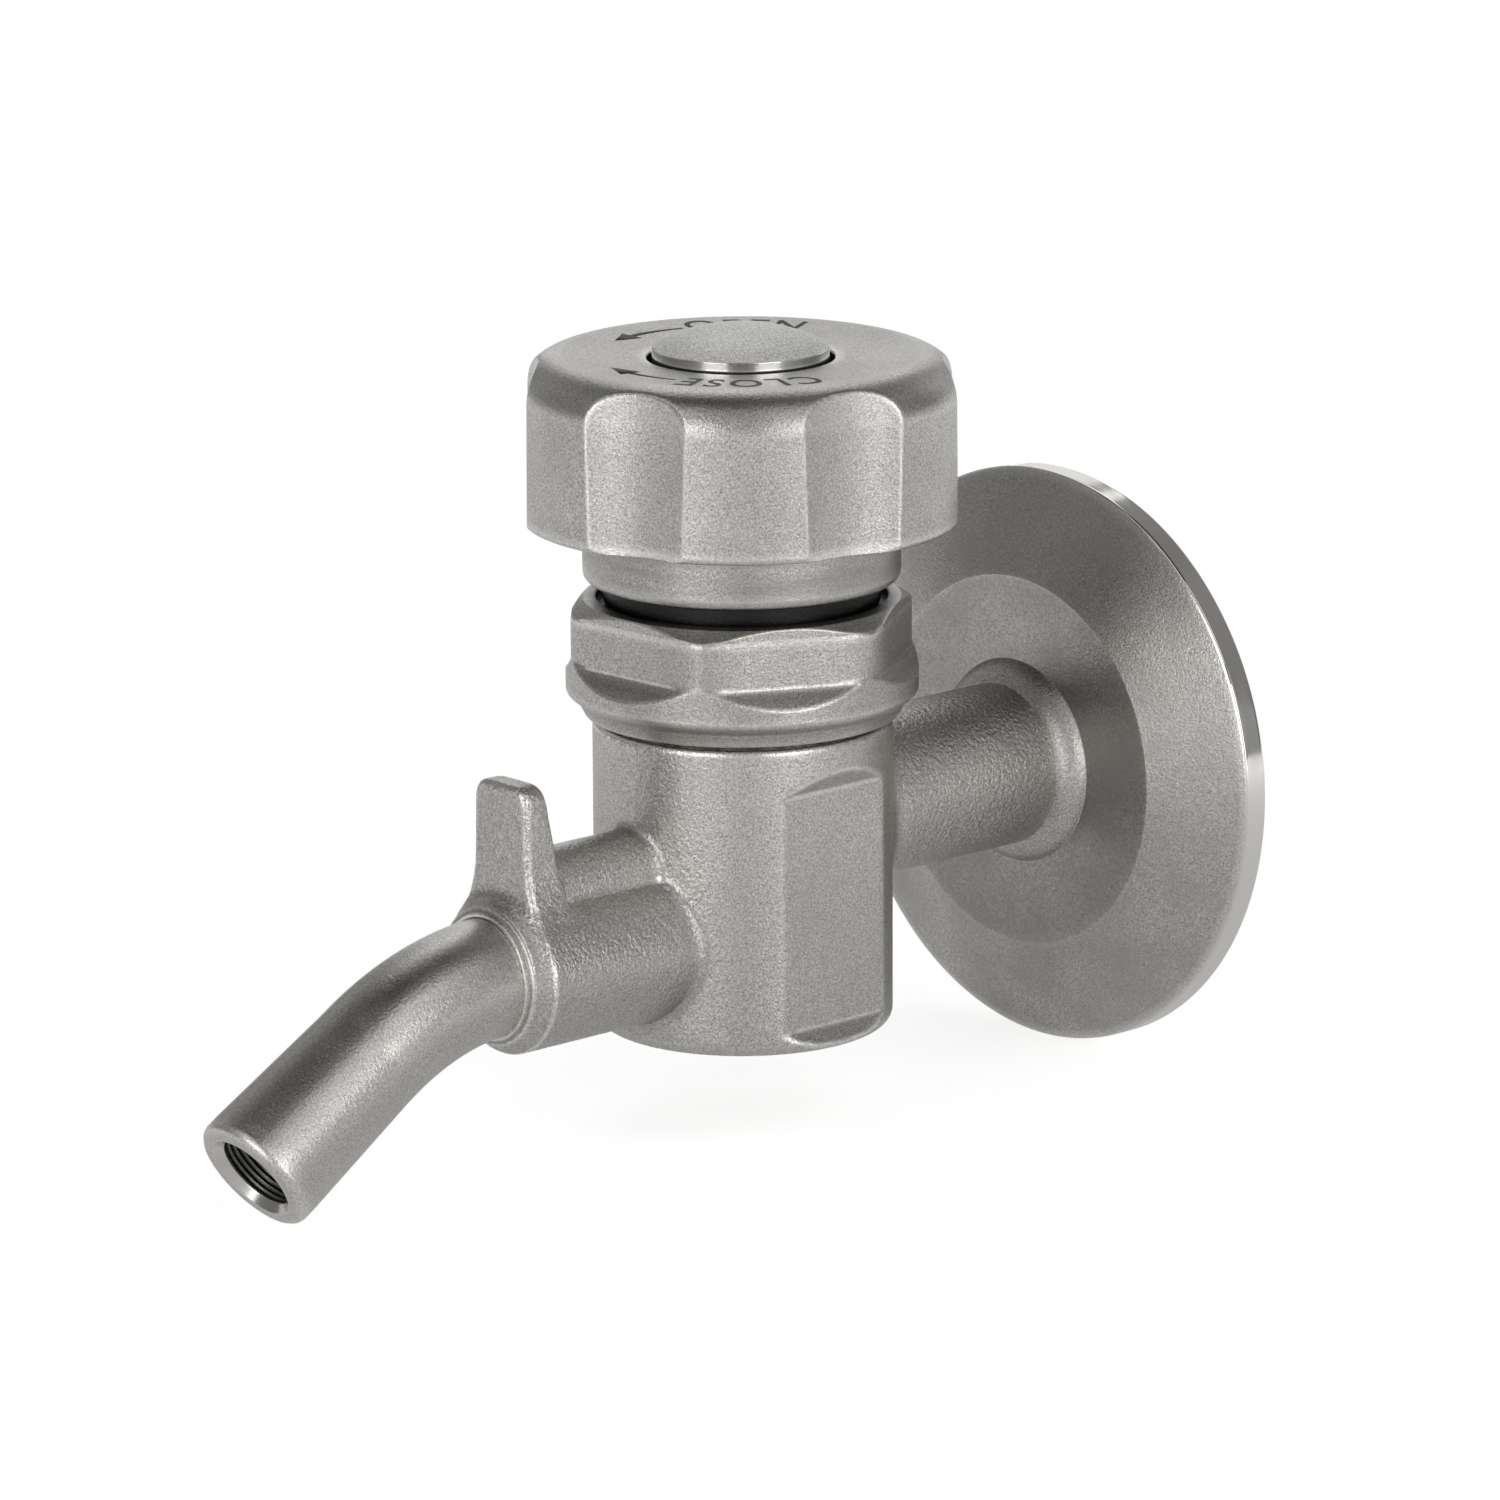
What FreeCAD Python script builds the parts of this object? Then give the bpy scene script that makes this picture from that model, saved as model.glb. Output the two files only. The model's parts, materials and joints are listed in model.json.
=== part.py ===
import FreeCAD, Part
import math
import os

import Sketcher

# Sanitary sampling valve: a clamp ferrule, a cast body with a bent spout, and a
# handwheel whose screw lifts a sealing plug off its seat.
#
# Millimetres. The origin is the centre of the clamp face. +Y points out of the
# ferrule, +Z up along the stem. Heights are measured from the inlet axis.

SIZES = [
    # clamp ferrule
    ("flange_radius", 25.25),
    ("rim_width", 2.2),
    ("back_radius", 16.25),
    ("back_depth", 5.4),
    ("groove_inset", 3.45),
    ("groove_depth", 1.2),
    ("groove_half_width", 1.6),
    ("ferrule_weld_leg", 2.1),
    ("ferrule_weld_hollow", 2.4),
    # inlet neck and body
    ("stem_offset", 37.0),
    ("neck_radius", 7.05),
    ("inlet_bore", 4.0),
    ("seam_gap", 0.02),
    ("body_radius", 12.6),
    ("body_depth", 17.1),
    ("body_edge", 1.2),
    ("shoulder_height", 9.3),
    ("shoulder_edge", 0.4),
    ("flat_distance", 11.3),
    ("flat_low", 15.2),
    ("flat_high", 5.1),
    ("thread_radius", 11.0),
    ("thread_relief", 0.8),
    ("relief_height", 1.2),
    ("neck_top", 15.5),
    ("chamber_radius", 7.4),
    ("seat_depth", 4.2),
    ("seat_bore", 3.4),
    ("seat_chamfer", 0.6),
    ("sump_depth", 0.5),
    # outlet stub, rib and lug
    ("outlet_drop", 8.05),
    ("outlet_bore", 2.5),
    ("stub_radius", 6.85),
    ("stub_reach", 26.75),
    ("nose_radius", 5.85),
    ("nose_length", 1.35),
    ("rib_radius", 3.4),
    ("rib_drop", 1.7),
    ("lug_half_width", 3.2),
    ("lug_top", 8.1),
    ("lug_thickness", 2.3),
    ("lug_flare", 1.7),
    ("lug_round", 0.85),
    # spout
    ("spout_radius", 5.02),
    ("mouth_radius", 5.42),
    ("mouth_round", 0.8),
    ("bend_radius", 26.0),
    ("bend_angle", 32.3),
    ("spout_length", 15.0),
    ("spout_bore", 2.6),
    ("tap_radius", 3.4),
    ("tap_depth", 10.0),
    ("tap_chamfer", 0.35),
    ("socket_gap", 0.12),
    ("spout_weld_height", 0.5),
    ("spout_weld_hollow", 0.75),
    # bonnet, its seals and the union nut
    ("gasket_thickness", 0.5),
    ("bonnet_gap", 0.1),
    ("head_gap", 0.5),
    ("bonnet_flange_radius", 10.0),
    ("bonnet_flange_thickness", 1.8),
    ("tower_radius", 8.0),
    ("tower_top", 31.0),
    ("bush_radius", 6.6),
    ("bush_foot", 18.6),
    ("bush_top", 30.0),
    ("body_ring_height", 9.6),
    ("body_ring_section", 0.6),
    ("rod_ring_low", 9.3),
    ("rod_ring_high", 11.4),
    ("rod_ring_section", 0.6),
    ("ring_groove_share", 1.15),
    ("guide_bush_radius", 5.2),
    ("guide_bush_height", 2.4),
    ("nut_radius", 14.8),
    ("nut_flat", 13.35),
    ("nut_foot", 9.75),
    ("nut_foot_radius", 13.2),
    ("nut_foot_band", 1.2),
    ("nut_shoulder", 2.0),
    ("nut_ledge", 14.6),
    ("nut_rim", 18.7),
    ("nut_cone_angle", 33.0),
    ("nut_mouth_radius", 12.2),
    ("nut_plate", 1.2),
    ("nut_lip_gap", 0.3),
    ("nut_turn", -25.9),
    # plunger, plug and swivel
    ("lift", 4.0),
    ("rod_radius", 4.0),
    ("rod_gap", 0.08),
    ("plug_radius", 4.9),
    ("plug_thickness", 2.5),
    ("plug_nose_depth", 1.4),
    ("plug_gap", 0.15),
    ("head_thickness", 2.0),
    ("head_taper", 0.7),
    ("cup_bore", 3.0),
    ("cup_floor", 12.2),
    ("cup_top", 16.6),
    ("thrust_thickness", 0.5),
    ("end_play", 0.05),
    ("tail_gap", 0.1),
    ("waist_radius", 1.9),
    ("waist_low", 14.3),
    ("waist_high", 15.5),
    ("swivel_pin_radius", 0.5),
    ("guide_pin_radius", 0.6),
    ("guide_pin_height", 13.4),
    ("guide_pin_reach", 4.85),
    ("plug_screw_radius", 1.25),
    ("plug_screw_head", 2.2),
    ("plug_screw_thickness", 1.3),
    ("plug_screw_length", 8.0),
    # spindle and handwheel
    ("spindle_radius", 5.0),
    ("thread_gap", 0.08),
    ("spindle_foot", 20.0),
    ("hub_seat", 33.0),
    ("hub_top", 37.0),
    ("drive_across_flats", 7.0),
    ("drive_gap", 0.05),
    ("drive_short", 0.2),
    ("wheel_radius", 18.42),
    ("wheel_foot", 26.26),
    ("wheel_top", 40.35),
    ("wheel_round", 3.5),
    ("wheel_dish", 0.35),
    ("wheel_foot_edge", 0.3),
    ("wheel_recess", 10.2),
    ("wheel_turn", -40.9),
    ("lobe_half_angle", 15.5),
    ("flute_radius", 12.0),
    ("counterbore", 7.81),
    ("counterbore_edge", 0.2),
    ("boss_radius", 6.0),
    ("boss_bore", 5.2),
    ("boss_height", 1.6),
    ("collar_radius", 13.32),
    ("collar_foot", 21.2),
    ("collar_round", 0.8),
    ("collar_bore", 8.4),
    ("skirt_radius", 11.6),
    ("skirt_foot", 19.3),
    ("collar_spigot", 2.3),
    ("washer_radius", 4.8),
    ("washer_thickness", 0.8),
    ("screw_radius", 2.0),
    ("screw_head_radius", 3.5),
    ("screw_head_height", 2.0),
    ("screw_length", 8.0),
    ("screw_socket", 1.45),
    ("screw_socket_depth", 1.4),
    ("cap_radius", 7.39),
    ("cap_foot", 37.2),
    ("cap_rim", 40.88),
    ("cap_rise", 1.8),
    ("cap_wall", 1.0),
    ("cap_edge", 0.15),
    ("cap_ring_section", 0.35),
    ("screw_gap", 0.02),
]

NUT_SIDES = 6
WHEEL_LOBES = 6
SOCKET_SIDES = 6
FULL_TURN = 360
NEAR = 0.01
SAME_SPOT = 0.000001

doc = FreeCAD.newDocument("sampling_valve")
sheet = doc.addObject("Spreadsheet::Sheet", "Sizes")
for row, (alias, number) in enumerate(SIZES, start=1):
    sheet.set(f"A{row}", alias)
    sheet.set(f"B{row}", str(number))
    sheet.setAlias(f"B{row}", alias)
doc.recompute()


class Size:
    """A length or angle: its number, and the expression that gives it in the sheet."""

    def __init__(self, value, text):
        self.value = value
        self.text = text

    def __add__(self, other):
        other = as_size(other)
        return Size(self.value + other.value, f"({self.text} + {other.text})")

    def __sub__(self, other):
        other = as_size(other)
        return Size(self.value - other.value, f"({self.text} - {other.text})")

    def __mul__(self, other):
        other = as_size(other)
        return Size(self.value * other.value, f"({self.text} * {other.text})")

    def __truediv__(self, other):
        other = as_size(other)
        return Size(self.value / other.value, f"({self.text} / {other.text})")

    def __neg__(self):
        return Size(-self.value, f"(0 - {self.text})")

    def __radd__(self, other):
        return as_size(other) + self

    def __rsub__(self, other):
        return as_size(other) - self

    def __rmul__(self, other):
        return as_size(other) * self


def as_size(number):
    if isinstance(number, Size):
        return number
    return Size(float(number), repr(float(number)))


def sine(angle):
    return Size(math.sin(math.radians(angle.value)), f"sin({angle.text} * 1 deg)")


def cosine(angle):
    return Size(math.cos(math.radians(angle.value)), f"cos({angle.text} * 1 deg)")


def tangent(angle):
    return Size(math.tan(math.radians(angle.value)), f"tan({angle.text} * 1 deg)")


def root(square):
    return Size(math.sqrt(square.value), f"sqrt({square.text})")


class Sheet:
    """The sheet's sizes by name."""


dim = Sheet()
for alias, number in SIZES:
    setattr(dim, alias, Size(sheet.get(alias), f"Sizes.{alias}"))

NODES = []


def body(label, x=0, y=None, z=0, turn=None):
    """A new body; without a y it stands on the stem axis."""
    made = doc.addObject("PartDesign::Body", label)
    made.Label = label
    place = {"x": x, "y": -dim.stem_offset if y is None else y, "z": z}
    for key, size in place.items():
        made.setExpression(f"Placement.Base.{key}", as_size(size).text)
    if turn is not None:
        made.Placement.Rotation = FreeCAD.Rotation(FreeCAD.Vector(0, 0, 1), 1)
        made.setExpression("Placement.Rotation.Angle", turn.text)
    doc.recompute()
    NODES.append(made)
    return made


def origin_feature(owner, role):
    return [item for item in owner.Origin.OriginFeatures if item.Role == role][0]


def sketch(owner, name, plane, offset=None):
    made = owner.newObject("Sketcher::SketchObject", f"{owner.Name}_{name}")
    made.AttachmentSupport = [(origin_feature(owner, plane), "")]
    made.MapMode = "FlatFace"
    if offset is not None:
        made.setExpression("AttachmentOffset.Base.z", offset.text)
    return made


def hold(made, kind, *place, size):
    """A dimension of a sketch, tied to the sheet."""
    index = made.addConstraint(Sketcher.Constraint(kind, *place, size.value))
    made.setExpression(f"Constraints[{index}]", size.text)


def arc_middle(start, end, radius):
    """The middle of an arc; a positive radius bulges to the right of the way."""
    way = end - start
    half = way.Length / 2
    sagitta = abs(radius) - math.sqrt(radius * radius - half * half)
    side = FreeCAD.Vector(way.y, -way.x, 0).normalize()
    return (start + end) / 2 + side * math.copysign(sagitta, radius)


def outline(made, points):
    """A closed outline through the points; a point's third value makes the
    stretch that leads to it an arc of that radius."""
    points = [[as_size(value) for value in point] for point in points]
    spots = [FreeCAD.Vector(point[0].value, point[1].value, 0) for point in points]
    ends = []
    for index, point in enumerate(points):
        start, end = spots[index - 1], spots[index]
        if len(point) == 3:
            middle = arc_middle(start, end, point[2].value)
            line = made.addGeometry(Part.Arc(start, middle, end))
            hold(made, "Radius", line, size=absolute(point[2]))
        else:
            line = made.addGeometry(Part.LineSegment(start, end))
        forward = made.getPoint(line, 1).distanceToPoint(start) < SAME_SPOT
        ends.append((line, 1, 2) if forward else (line, 2, 1))
    for index, point in enumerate(points):
        line, _, last = ends[index]
        after, first, _ = ends[(index + 1) % len(points)]
        made.addConstraint(Sketcher.Constraint("Coincident", line, last, after, first))
        hold(made, "DistanceX", -1, 1, line, last, size=point[0])
        hold(made, "DistanceY", -1, 1, line, last, size=point[1])


def absolute(size):
    return size if size.value > 0 else -size


def circle(made, x, y, radius):
    x, y = as_size(x), as_size(y)
    spot = FreeCAD.Vector(x.value, y.value, 0)
    up = FreeCAD.Vector(0, 0, 1)
    line = made.addGeometry(Part.Circle(spot, up, radius.value))
    hold(made, "DistanceX", -1, 1, line, 3, size=x)
    hold(made, "DistanceY", -1, 1, line, 3, size=y)
    hold(made, "Radius", line, size=radius)


def axis_line(made, start, end):
    """A construction line to turn about."""
    spots = [FreeCAD.Vector(as_size(x).value, as_size(y).value, 0) for x, y in (start, end)]
    line = made.addGeometry(Part.LineSegment(*spots), True)
    for end_name, (x, y) in zip((1, 2), (start, end)):
        hold(made, "DistanceX", -1, 1, line, end_name, size=as_size(x))
        hold(made, "DistanceY", -1, 1, line, end_name, size=as_size(y))


def turned(owner, made, axis="V_Axis", angle=None, cut=False, backward=False):
    kind = "PartDesign::Groove" if cut else "PartDesign::Revolution"
    feature = owner.newObject(kind, f"{made.Name}_turned")
    feature.Profile = made
    feature.ReferenceAxis = (made, [axis])
    feature.Angle = FULL_TURN
    feature.Reversed = backward
    if angle is not None:
        feature.setExpression("Angle", angle.text)
    doc.recompute()
    return feature


def raised(owner, made, length, backward=False, both_ways=False):
    return straight(owner, made, length, "PartDesign::Pad", backward, both_ways)


def sunk(owner, made, length, backward=False, both_ways=False):
    return straight(owner, made, length, "PartDesign::Pocket", backward, both_ways)


def straight(owner, made, length, kind, backward, both_ways):
    feature = owner.newObject(kind, f"{made.Name}_straight")
    feature.Profile = made
    feature.setExpression("Length", as_size(length).text)
    feature.SideType = "Symmetric" if both_ways else "One side"
    feature.Reversed = backward
    doc.recompute()
    return feature


def around(owner, feature, count):
    """Copies of a feature, evenly spaced about the stem axis."""
    pattern = owner.newObject("PartDesign::PolarPattern", f"{feature.Name}_around")
    pattern.Originals = [feature]
    pattern.Axis = (origin_feature(owner, "Z_Axis"), [""])
    pattern.Angle = FULL_TURN
    pattern.Occurrences = count
    owner.Tip = pattern
    doc.recompute()
    return pattern


def rounded(owner, base, edges, radius):
    feature = owner.newObject("PartDesign::Fillet", f"{base.Name}_rounded")
    feature.Base = (base, edges)
    feature.setExpression("Radius", radius.text)
    doc.recompute()
    return feature


def turned_piece(label, points, **place):
    """A piece turned about its own Z axis: points are (radius, height)."""
    made = body(label, **place)
    profile = sketch(made, "profile", "XZ_Plane")
    outline(profile, points)
    turned(made, profile)
    return made


def ring(label, radius, section, height):
    """A round rubber ring about the stem axis."""
    made = doc.addObject("Part::Torus", label)
    made.Label = label
    made.setExpression("Radius1", radius.text)
    made.setExpression("Radius2", section.text)
    made.setExpression("Placement.Base.y", (-dim.stem_offset).text)
    made.setExpression("Placement.Base.z", as_size(height).text)
    return made


def pin(label, radius, length, direction, x=0, y=0, z=0):
    """A round pin from a point beside the stem axis, along a direction."""
    made = doc.addObject("Part::Cylinder", label)
    made.Label = label
    made.setExpression("Radius", radius.text)
    made.setExpression("Height", length.text)
    up = FreeCAD.Vector(0, 0, 1)
    made.Placement.Rotation = FreeCAD.Rotation(up, FreeCAD.Vector(*direction))
    made.setExpression("Placement.Base.x", as_size(x).text)
    made.setExpression("Placement.Base.y", (as_size(y) - dim.stem_offset).text)
    made.setExpression("Placement.Base.z", as_size(z).text)
    return made


def group(label, pieces):
    made = doc.addObject("Part::Compound", label)
    made.Label = label
    made.Links = pieces
    NODES.append(made)
    return made


# Valve body: lug, stub, rib, barrel and inlet neck, then the bores.

def make_valve_body():
    made = body("valve_body")
    front = -dim.stub_reach

    side = sketch(made, "lug", "YZ_Plane")
    lug_foot = -dim.outlet_drop / 2
    outline(side, [
        (front, lug_foot),
        (front + dim.lug_thickness + dim.lug_flare, lug_foot),
        (front + dim.lug_thickness + dim.lug_flare, -dim.rib_drop),
        (front + dim.lug_thickness, dim.lug_top),
        (front, dim.lug_top),
    ])
    lug = raised(made, side, 2 * dim.lug_half_width, both_ways=True)
    sides = [
        f"Edge{number}"
        for number, edge in enumerate(lug.Shape.Edges, start=1)
        if edge.BoundBox.ZMax > NEAR - dim.rib_drop.value
    ]
    rounded(made, lug, sides, dim.lug_round)

    stub = sketch(made, "stub", "YZ_Plane")
    axis_height = -dim.outlet_drop
    outline(stub, [
        (0, axis_height),
        (0, axis_height + dim.stub_radius),
        (front, axis_height + dim.stub_radius),
        (front - dim.nose_length, axis_height + dim.nose_radius),
        (front - dim.nose_length, axis_height),
    ])
    axis_line(stub, (0, axis_height), (-dim.stub_reach, axis_height))
    turned(made, stub, axis="Axis0")

    rib = sketch(made, "rib", "XZ_Plane")
    circle(rib, 0, -dim.rib_drop, dim.rib_radius)
    raised(made, rib, dim.stub_reach - dim.lug_thickness / 2)

    barrel = sketch(made, "barrel", "XZ_Plane")
    thread_foot = dim.shoulder_height + dim.relief_height
    outline(barrel, [
        (0, -dim.body_depth),
        (dim.body_radius - dim.body_edge, -dim.body_depth),
        (dim.body_radius, -dim.body_depth + dim.body_edge, dim.body_edge),
        (dim.body_radius, dim.shoulder_height - dim.shoulder_edge),
        (dim.body_radius - dim.shoulder_edge, dim.shoulder_height),
        (dim.thread_radius - dim.thread_relief, dim.shoulder_height),
        (dim.thread_radius - dim.thread_relief, thread_foot),
        (dim.thread_radius, thread_foot),
        (dim.thread_radius, dim.neck_top),
        (0, dim.neck_top),
    ])
    turned(made, barrel)

    neck = sketch(made, "neck", "XZ_Plane")
    circle(neck, 0, 0, dim.neck_radius)
    raised(made, neck, dim.stem_offset, backward=True)

    flats = sketch(made, "flats", "XZ_Plane")
    outside = dim.body_radius + dim.body_edge
    for side_sign in (1, -1):
        outline(flats, [
            (side_sign * dim.flat_distance, -dim.flat_low),
            (side_sign * outside, -dim.flat_low),
            (side_sign * outside, dim.flat_high),
            (side_sign * dim.flat_distance, dim.flat_high),
        ])
    sunk(made, flats, 2 * dim.body_radius, both_ways=True)

    chamber = sketch(made, "chamber", "XZ_Plane")
    sump_floor = -(dim.outlet_drop + dim.outlet_bore + dim.sump_depth)
    outline(chamber, [
        (0, dim.neck_top),
        (0, sump_floor),
        (dim.seat_bore, sump_floor),
        (dim.seat_bore, -dim.seat_depth - dim.seat_chamfer),
        (dim.seat_bore + dim.seat_chamfer, -dim.seat_depth),
        (dim.chamber_radius, -dim.seat_depth),
        (dim.chamber_radius, dim.neck_top),
    ])
    turned(made, chamber, cut=True)

    inlet = sketch(made, "inlet", "XZ_Plane")
    circle(inlet, 0, 0, dim.inlet_bore)
    sunk(made, inlet, dim.stem_offset)

    outlet = sketch(made, "outlet", "XZ_Plane")
    circle(outlet, 0, axis_height, dim.outlet_bore)
    sunk(made, outlet, dim.stub_reach, backward=True)

    socket = sketch(made, "socket", "XZ_Plane", offset=dim.stub_reach)
    circle(socket, 0, axis_height, dim.spout_radius + dim.socket_gap)
    sunk(made, socket, dim.nose_length, backward=True)
    return made


# Clamp ferrule: turned about the inlet axis, with its gasket groove.

def make_ferrule():
    made = body("clamp_ferrule", y=0)
    profile = sketch(made, "profile", "XY_Plane")
    hole = dim.neck_radius + dim.seam_gap
    groove_middle = dim.flange_radius - dim.groove_inset
    inner = groove_middle - dim.groove_half_width
    outer = groove_middle + dim.groove_half_width
    floor_half = dim.groove_half_width / 2
    outline(profile, [
        (hole, 0),
        (hole, -dim.back_depth),
        (dim.back_radius, -dim.back_depth),
        (dim.flange_radius, -dim.rim_width),
        (dim.flange_radius, 0),
        (outer, 0),
        (groove_middle + floor_half, -dim.groove_depth),
        (groove_middle - floor_half, -dim.groove_depth),
        (inner, 0),
    ])
    turned(made, profile)

    weld = body("ferrule_weld", y=0)
    bead = sketch(weld, "profile", "XY_Plane")
    leg = dim.ferrule_weld_leg
    outline(bead, [
        (hole, -dim.back_depth),
        (hole, -dim.back_depth - leg),
        (hole + leg, -dim.back_depth, -dim.ferrule_weld_hollow),
    ])
    turned(weld, bead)


# Spout: a bend turned about its centre, then a straight, slightly flared end.

def bend(owner, name, radius, cut=False):
    """A round section turned about the centre of the bend."""
    section = sketch(owner, name, "XY_Plane")
    circle(section, 0, 0, radius)
    axis_line(section, (dim.spout_radius, -dim.bend_radius), (-dim.spout_radius, -dim.bend_radius))
    turned(owner, section, axis="Axis0", angle=dim.bend_angle, cut=cut)


def make_spout():
    drop = dim.bend_radius * (1 - cosine(dim.bend_angle))
    reach = dim.bend_radius * sine(dim.bend_angle)
    made = body(
        "spout_tube",
        y=-dim.stem_offset - dim.stub_reach - reach,
        z=-dim.outlet_drop - drop,
    )
    made.Placement.Rotation = FreeCAD.Rotation(FreeCAD.Vector(1, 0, 0), 1)
    made.setExpression("Placement.Rotation.Angle", (90 + dim.bend_angle).text)

    bend(made, "bend", dim.spout_radius)
    end = sketch(made, "end", "XZ_Plane")
    outline(end, [
        (0, 0),
        (dim.spout_radius, 0),
        (dim.mouth_radius, dim.spout_length - dim.mouth_round),
        (dim.mouth_radius - dim.mouth_round, dim.spout_length, dim.mouth_round),
        (0, dim.spout_length),
    ])
    turned(made, end)
    bend(made, "bore", dim.spout_bore, cut=True)

    drill = sketch(made, "drill", "XZ_Plane")
    tap_foot = dim.spout_length - dim.tap_depth
    outline(drill, [
        (0, 0),
        (dim.spout_bore, 0),
        (dim.spout_bore, tap_foot),
        (dim.tap_radius, tap_foot),
        (dim.tap_radius, dim.spout_length - dim.tap_chamfer),
        (dim.tap_radius + dim.tap_chamfer, dim.spout_length),
        (0, dim.spout_length),
    ])
    turned(made, drill, cut=True)

    weld = body("spout_weld", z=-dim.outlet_drop)
    bead = sketch(weld, "profile", "XY_Plane")
    face = -dim.stub_reach - dim.nose_length
    hole = dim.spout_radius + dim.socket_gap
    outline(bead, [
        (hole, face),
        (dim.nose_radius, face),
        (hole + dim.socket_gap, face - dim.spout_weld_height, -dim.spout_weld_hollow),
        (hole, face - dim.spout_weld_height),
    ])
    turned(weld, bead)


# Bonnet and what seals it to the body and to the rod.

def make_bonnet():
    spigot = dim.chamber_radius - dim.bonnet_gap
    bore = dim.rod_radius + dim.rod_gap
    flange_foot = dim.neck_top + dim.gasket_thickness
    flange_top = flange_foot + dim.bonnet_flange_thickness
    head_top = dim.plug_thickness + dim.head_thickness + dim.head_taper - dim.seat_depth
    bonnet_foot = head_top + dim.lift + dim.head_gap
    bush_roof = bonnet_foot + dim.guide_bush_height
    body_groove = dim.chamber_radius - 2 * dim.body_ring_section
    rod_groove = dim.rod_radius + 2 * dim.rod_ring_section
    body_land = dim.ring_groove_share * dim.body_ring_section
    rod_land = dim.ring_groove_share * dim.rod_ring_section
    points = [
        (dim.guide_bush_radius, bonnet_foot),
        (spigot, bonnet_foot),
        (spigot, dim.body_ring_height - body_land),
        (body_groove, dim.body_ring_height - body_land),
        (body_groove, dim.body_ring_height + body_land),
        (spigot, dim.body_ring_height + body_land),
        (spigot, flange_foot),
        (dim.bonnet_flange_radius, flange_foot),
        (dim.bonnet_flange_radius, flange_top),
        (dim.tower_radius, flange_top),
        (dim.tower_radius, dim.tower_top),
        (dim.bush_radius, dim.tower_top),
        (dim.bush_radius, dim.bush_foot),
        (bore, dim.bush_foot),
    ]
    for height in (dim.rod_ring_high, dim.rod_ring_low):
        points += [
            (bore, height + rod_land),
            (rod_groove, height + rod_land),
            (rod_groove, height - rod_land),
            (bore, height - rod_land),
        ]
    points += [(bore, bush_roof), (dim.guide_bush_radius, bush_roof)]
    made = turned_piece("bonnet", points)

    slot = sketch(made, "slot", "XY_Plane", offset=dim.guide_pin_height - 2 * dim.guide_pin_radius)
    half = dim.guide_pin_radius + dim.rod_gap
    outline(slot, [
        (-half, 0),
        (half, 0),
        (half, -dim.guide_pin_reach - dim.rod_gap),
        (-half, -dim.guide_pin_reach - dim.rod_gap),
    ])
    sunk(made, slot, dim.lift + 4 * dim.guide_pin_radius, backward=True)

    turned_piece("bonnet_gasket", [
        (dim.chamber_radius, dim.neck_top),
        (dim.bonnet_flange_radius, dim.neck_top),
        (dim.bonnet_flange_radius, flange_foot),
        (dim.chamber_radius, flange_foot),
    ])
    turned_piece("guide_bush", [
        (bore, bonnet_foot),
        (dim.guide_bush_radius, bonnet_foot),
        (dim.guide_bush_radius, bush_roof),
        (bore, bush_roof),
    ])
    turned_piece("spindle_nut", [
        (dim.spindle_radius + dim.thread_gap, dim.bush_foot),
        (dim.bush_radius, dim.bush_foot),
        (dim.bush_radius, dim.bush_top),
        (dim.spindle_radius + dim.thread_gap, dim.bush_top),
    ])
    body_ring = ring(
        "bonnet_ring",
        dim.chamber_radius - dim.body_ring_section,
        dim.body_ring_section - dim.seam_gap,
        dim.body_ring_height,
    )
    NODES.append(body_ring)
    rod_rings = [
        ring(
            f"rod_ring_{name}",
            dim.rod_radius + dim.rod_ring_section,
            dim.rod_ring_section - dim.seam_gap,
            height,
        )
        for name, height in (("low", dim.rod_ring_low), ("high", dim.rod_ring_high))
    ]
    group("rod_rings", rod_rings)


# Union nut: a turned blank with six flats, their ledges left on the flange below.

def make_union_nut():
    made = body("union_nut", turn=dim.nut_turn)
    blank = sketch(made, "blank", "XZ_Plane")
    plate_foot = dim.neck_top + dim.gasket_thickness + dim.bonnet_flange_thickness
    plate_top = plate_foot + dim.nut_plate
    rim_slope = tangent(dim.nut_cone_angle)
    edge_radius = dim.nut_mouth_radius + dim.nut_plate
    edge_top = dim.nut_rim + (dim.nut_radius - edge_radius) * rim_slope
    thread = dim.thread_radius + dim.seam_gap
    outline(blank, [
        (thread, dim.nut_foot),
        (dim.nut_foot_radius, dim.nut_foot),
        (dim.nut_foot_radius + dim.nut_foot_band / 2, dim.nut_foot + dim.nut_foot_band),
        (dim.nut_radius, dim.nut_foot + dim.nut_shoulder),
        (dim.nut_radius, dim.nut_rim),
        (edge_radius, edge_top),
        (dim.nut_mouth_radius, edge_top),
        (dim.nut_mouth_radius, plate_top),
        (dim.tower_radius + dim.nut_lip_gap, plate_top),
        (dim.tower_radius + dim.nut_lip_gap, plate_foot),
        (thread, plate_foot),
    ])
    turned(made, blank)

    flat = sketch(made, "flat", "XZ_Plane")
    outside = dim.nut_radius + dim.nut_plate
    outline(flat, [
        (dim.nut_flat, dim.nut_ledge),
        (outside, dim.nut_ledge - (outside - dim.nut_flat)),
        (outside, edge_top + dim.nut_plate),
        (dim.nut_flat, edge_top + dim.nut_plate),
    ])
    milled = sunk(made, flat, 2 * dim.nut_radius, both_ways=True)
    around(made, milled, NUT_SIDES)


# Plunger, its plug, and the swivel that hangs it on the spindle.

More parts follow.
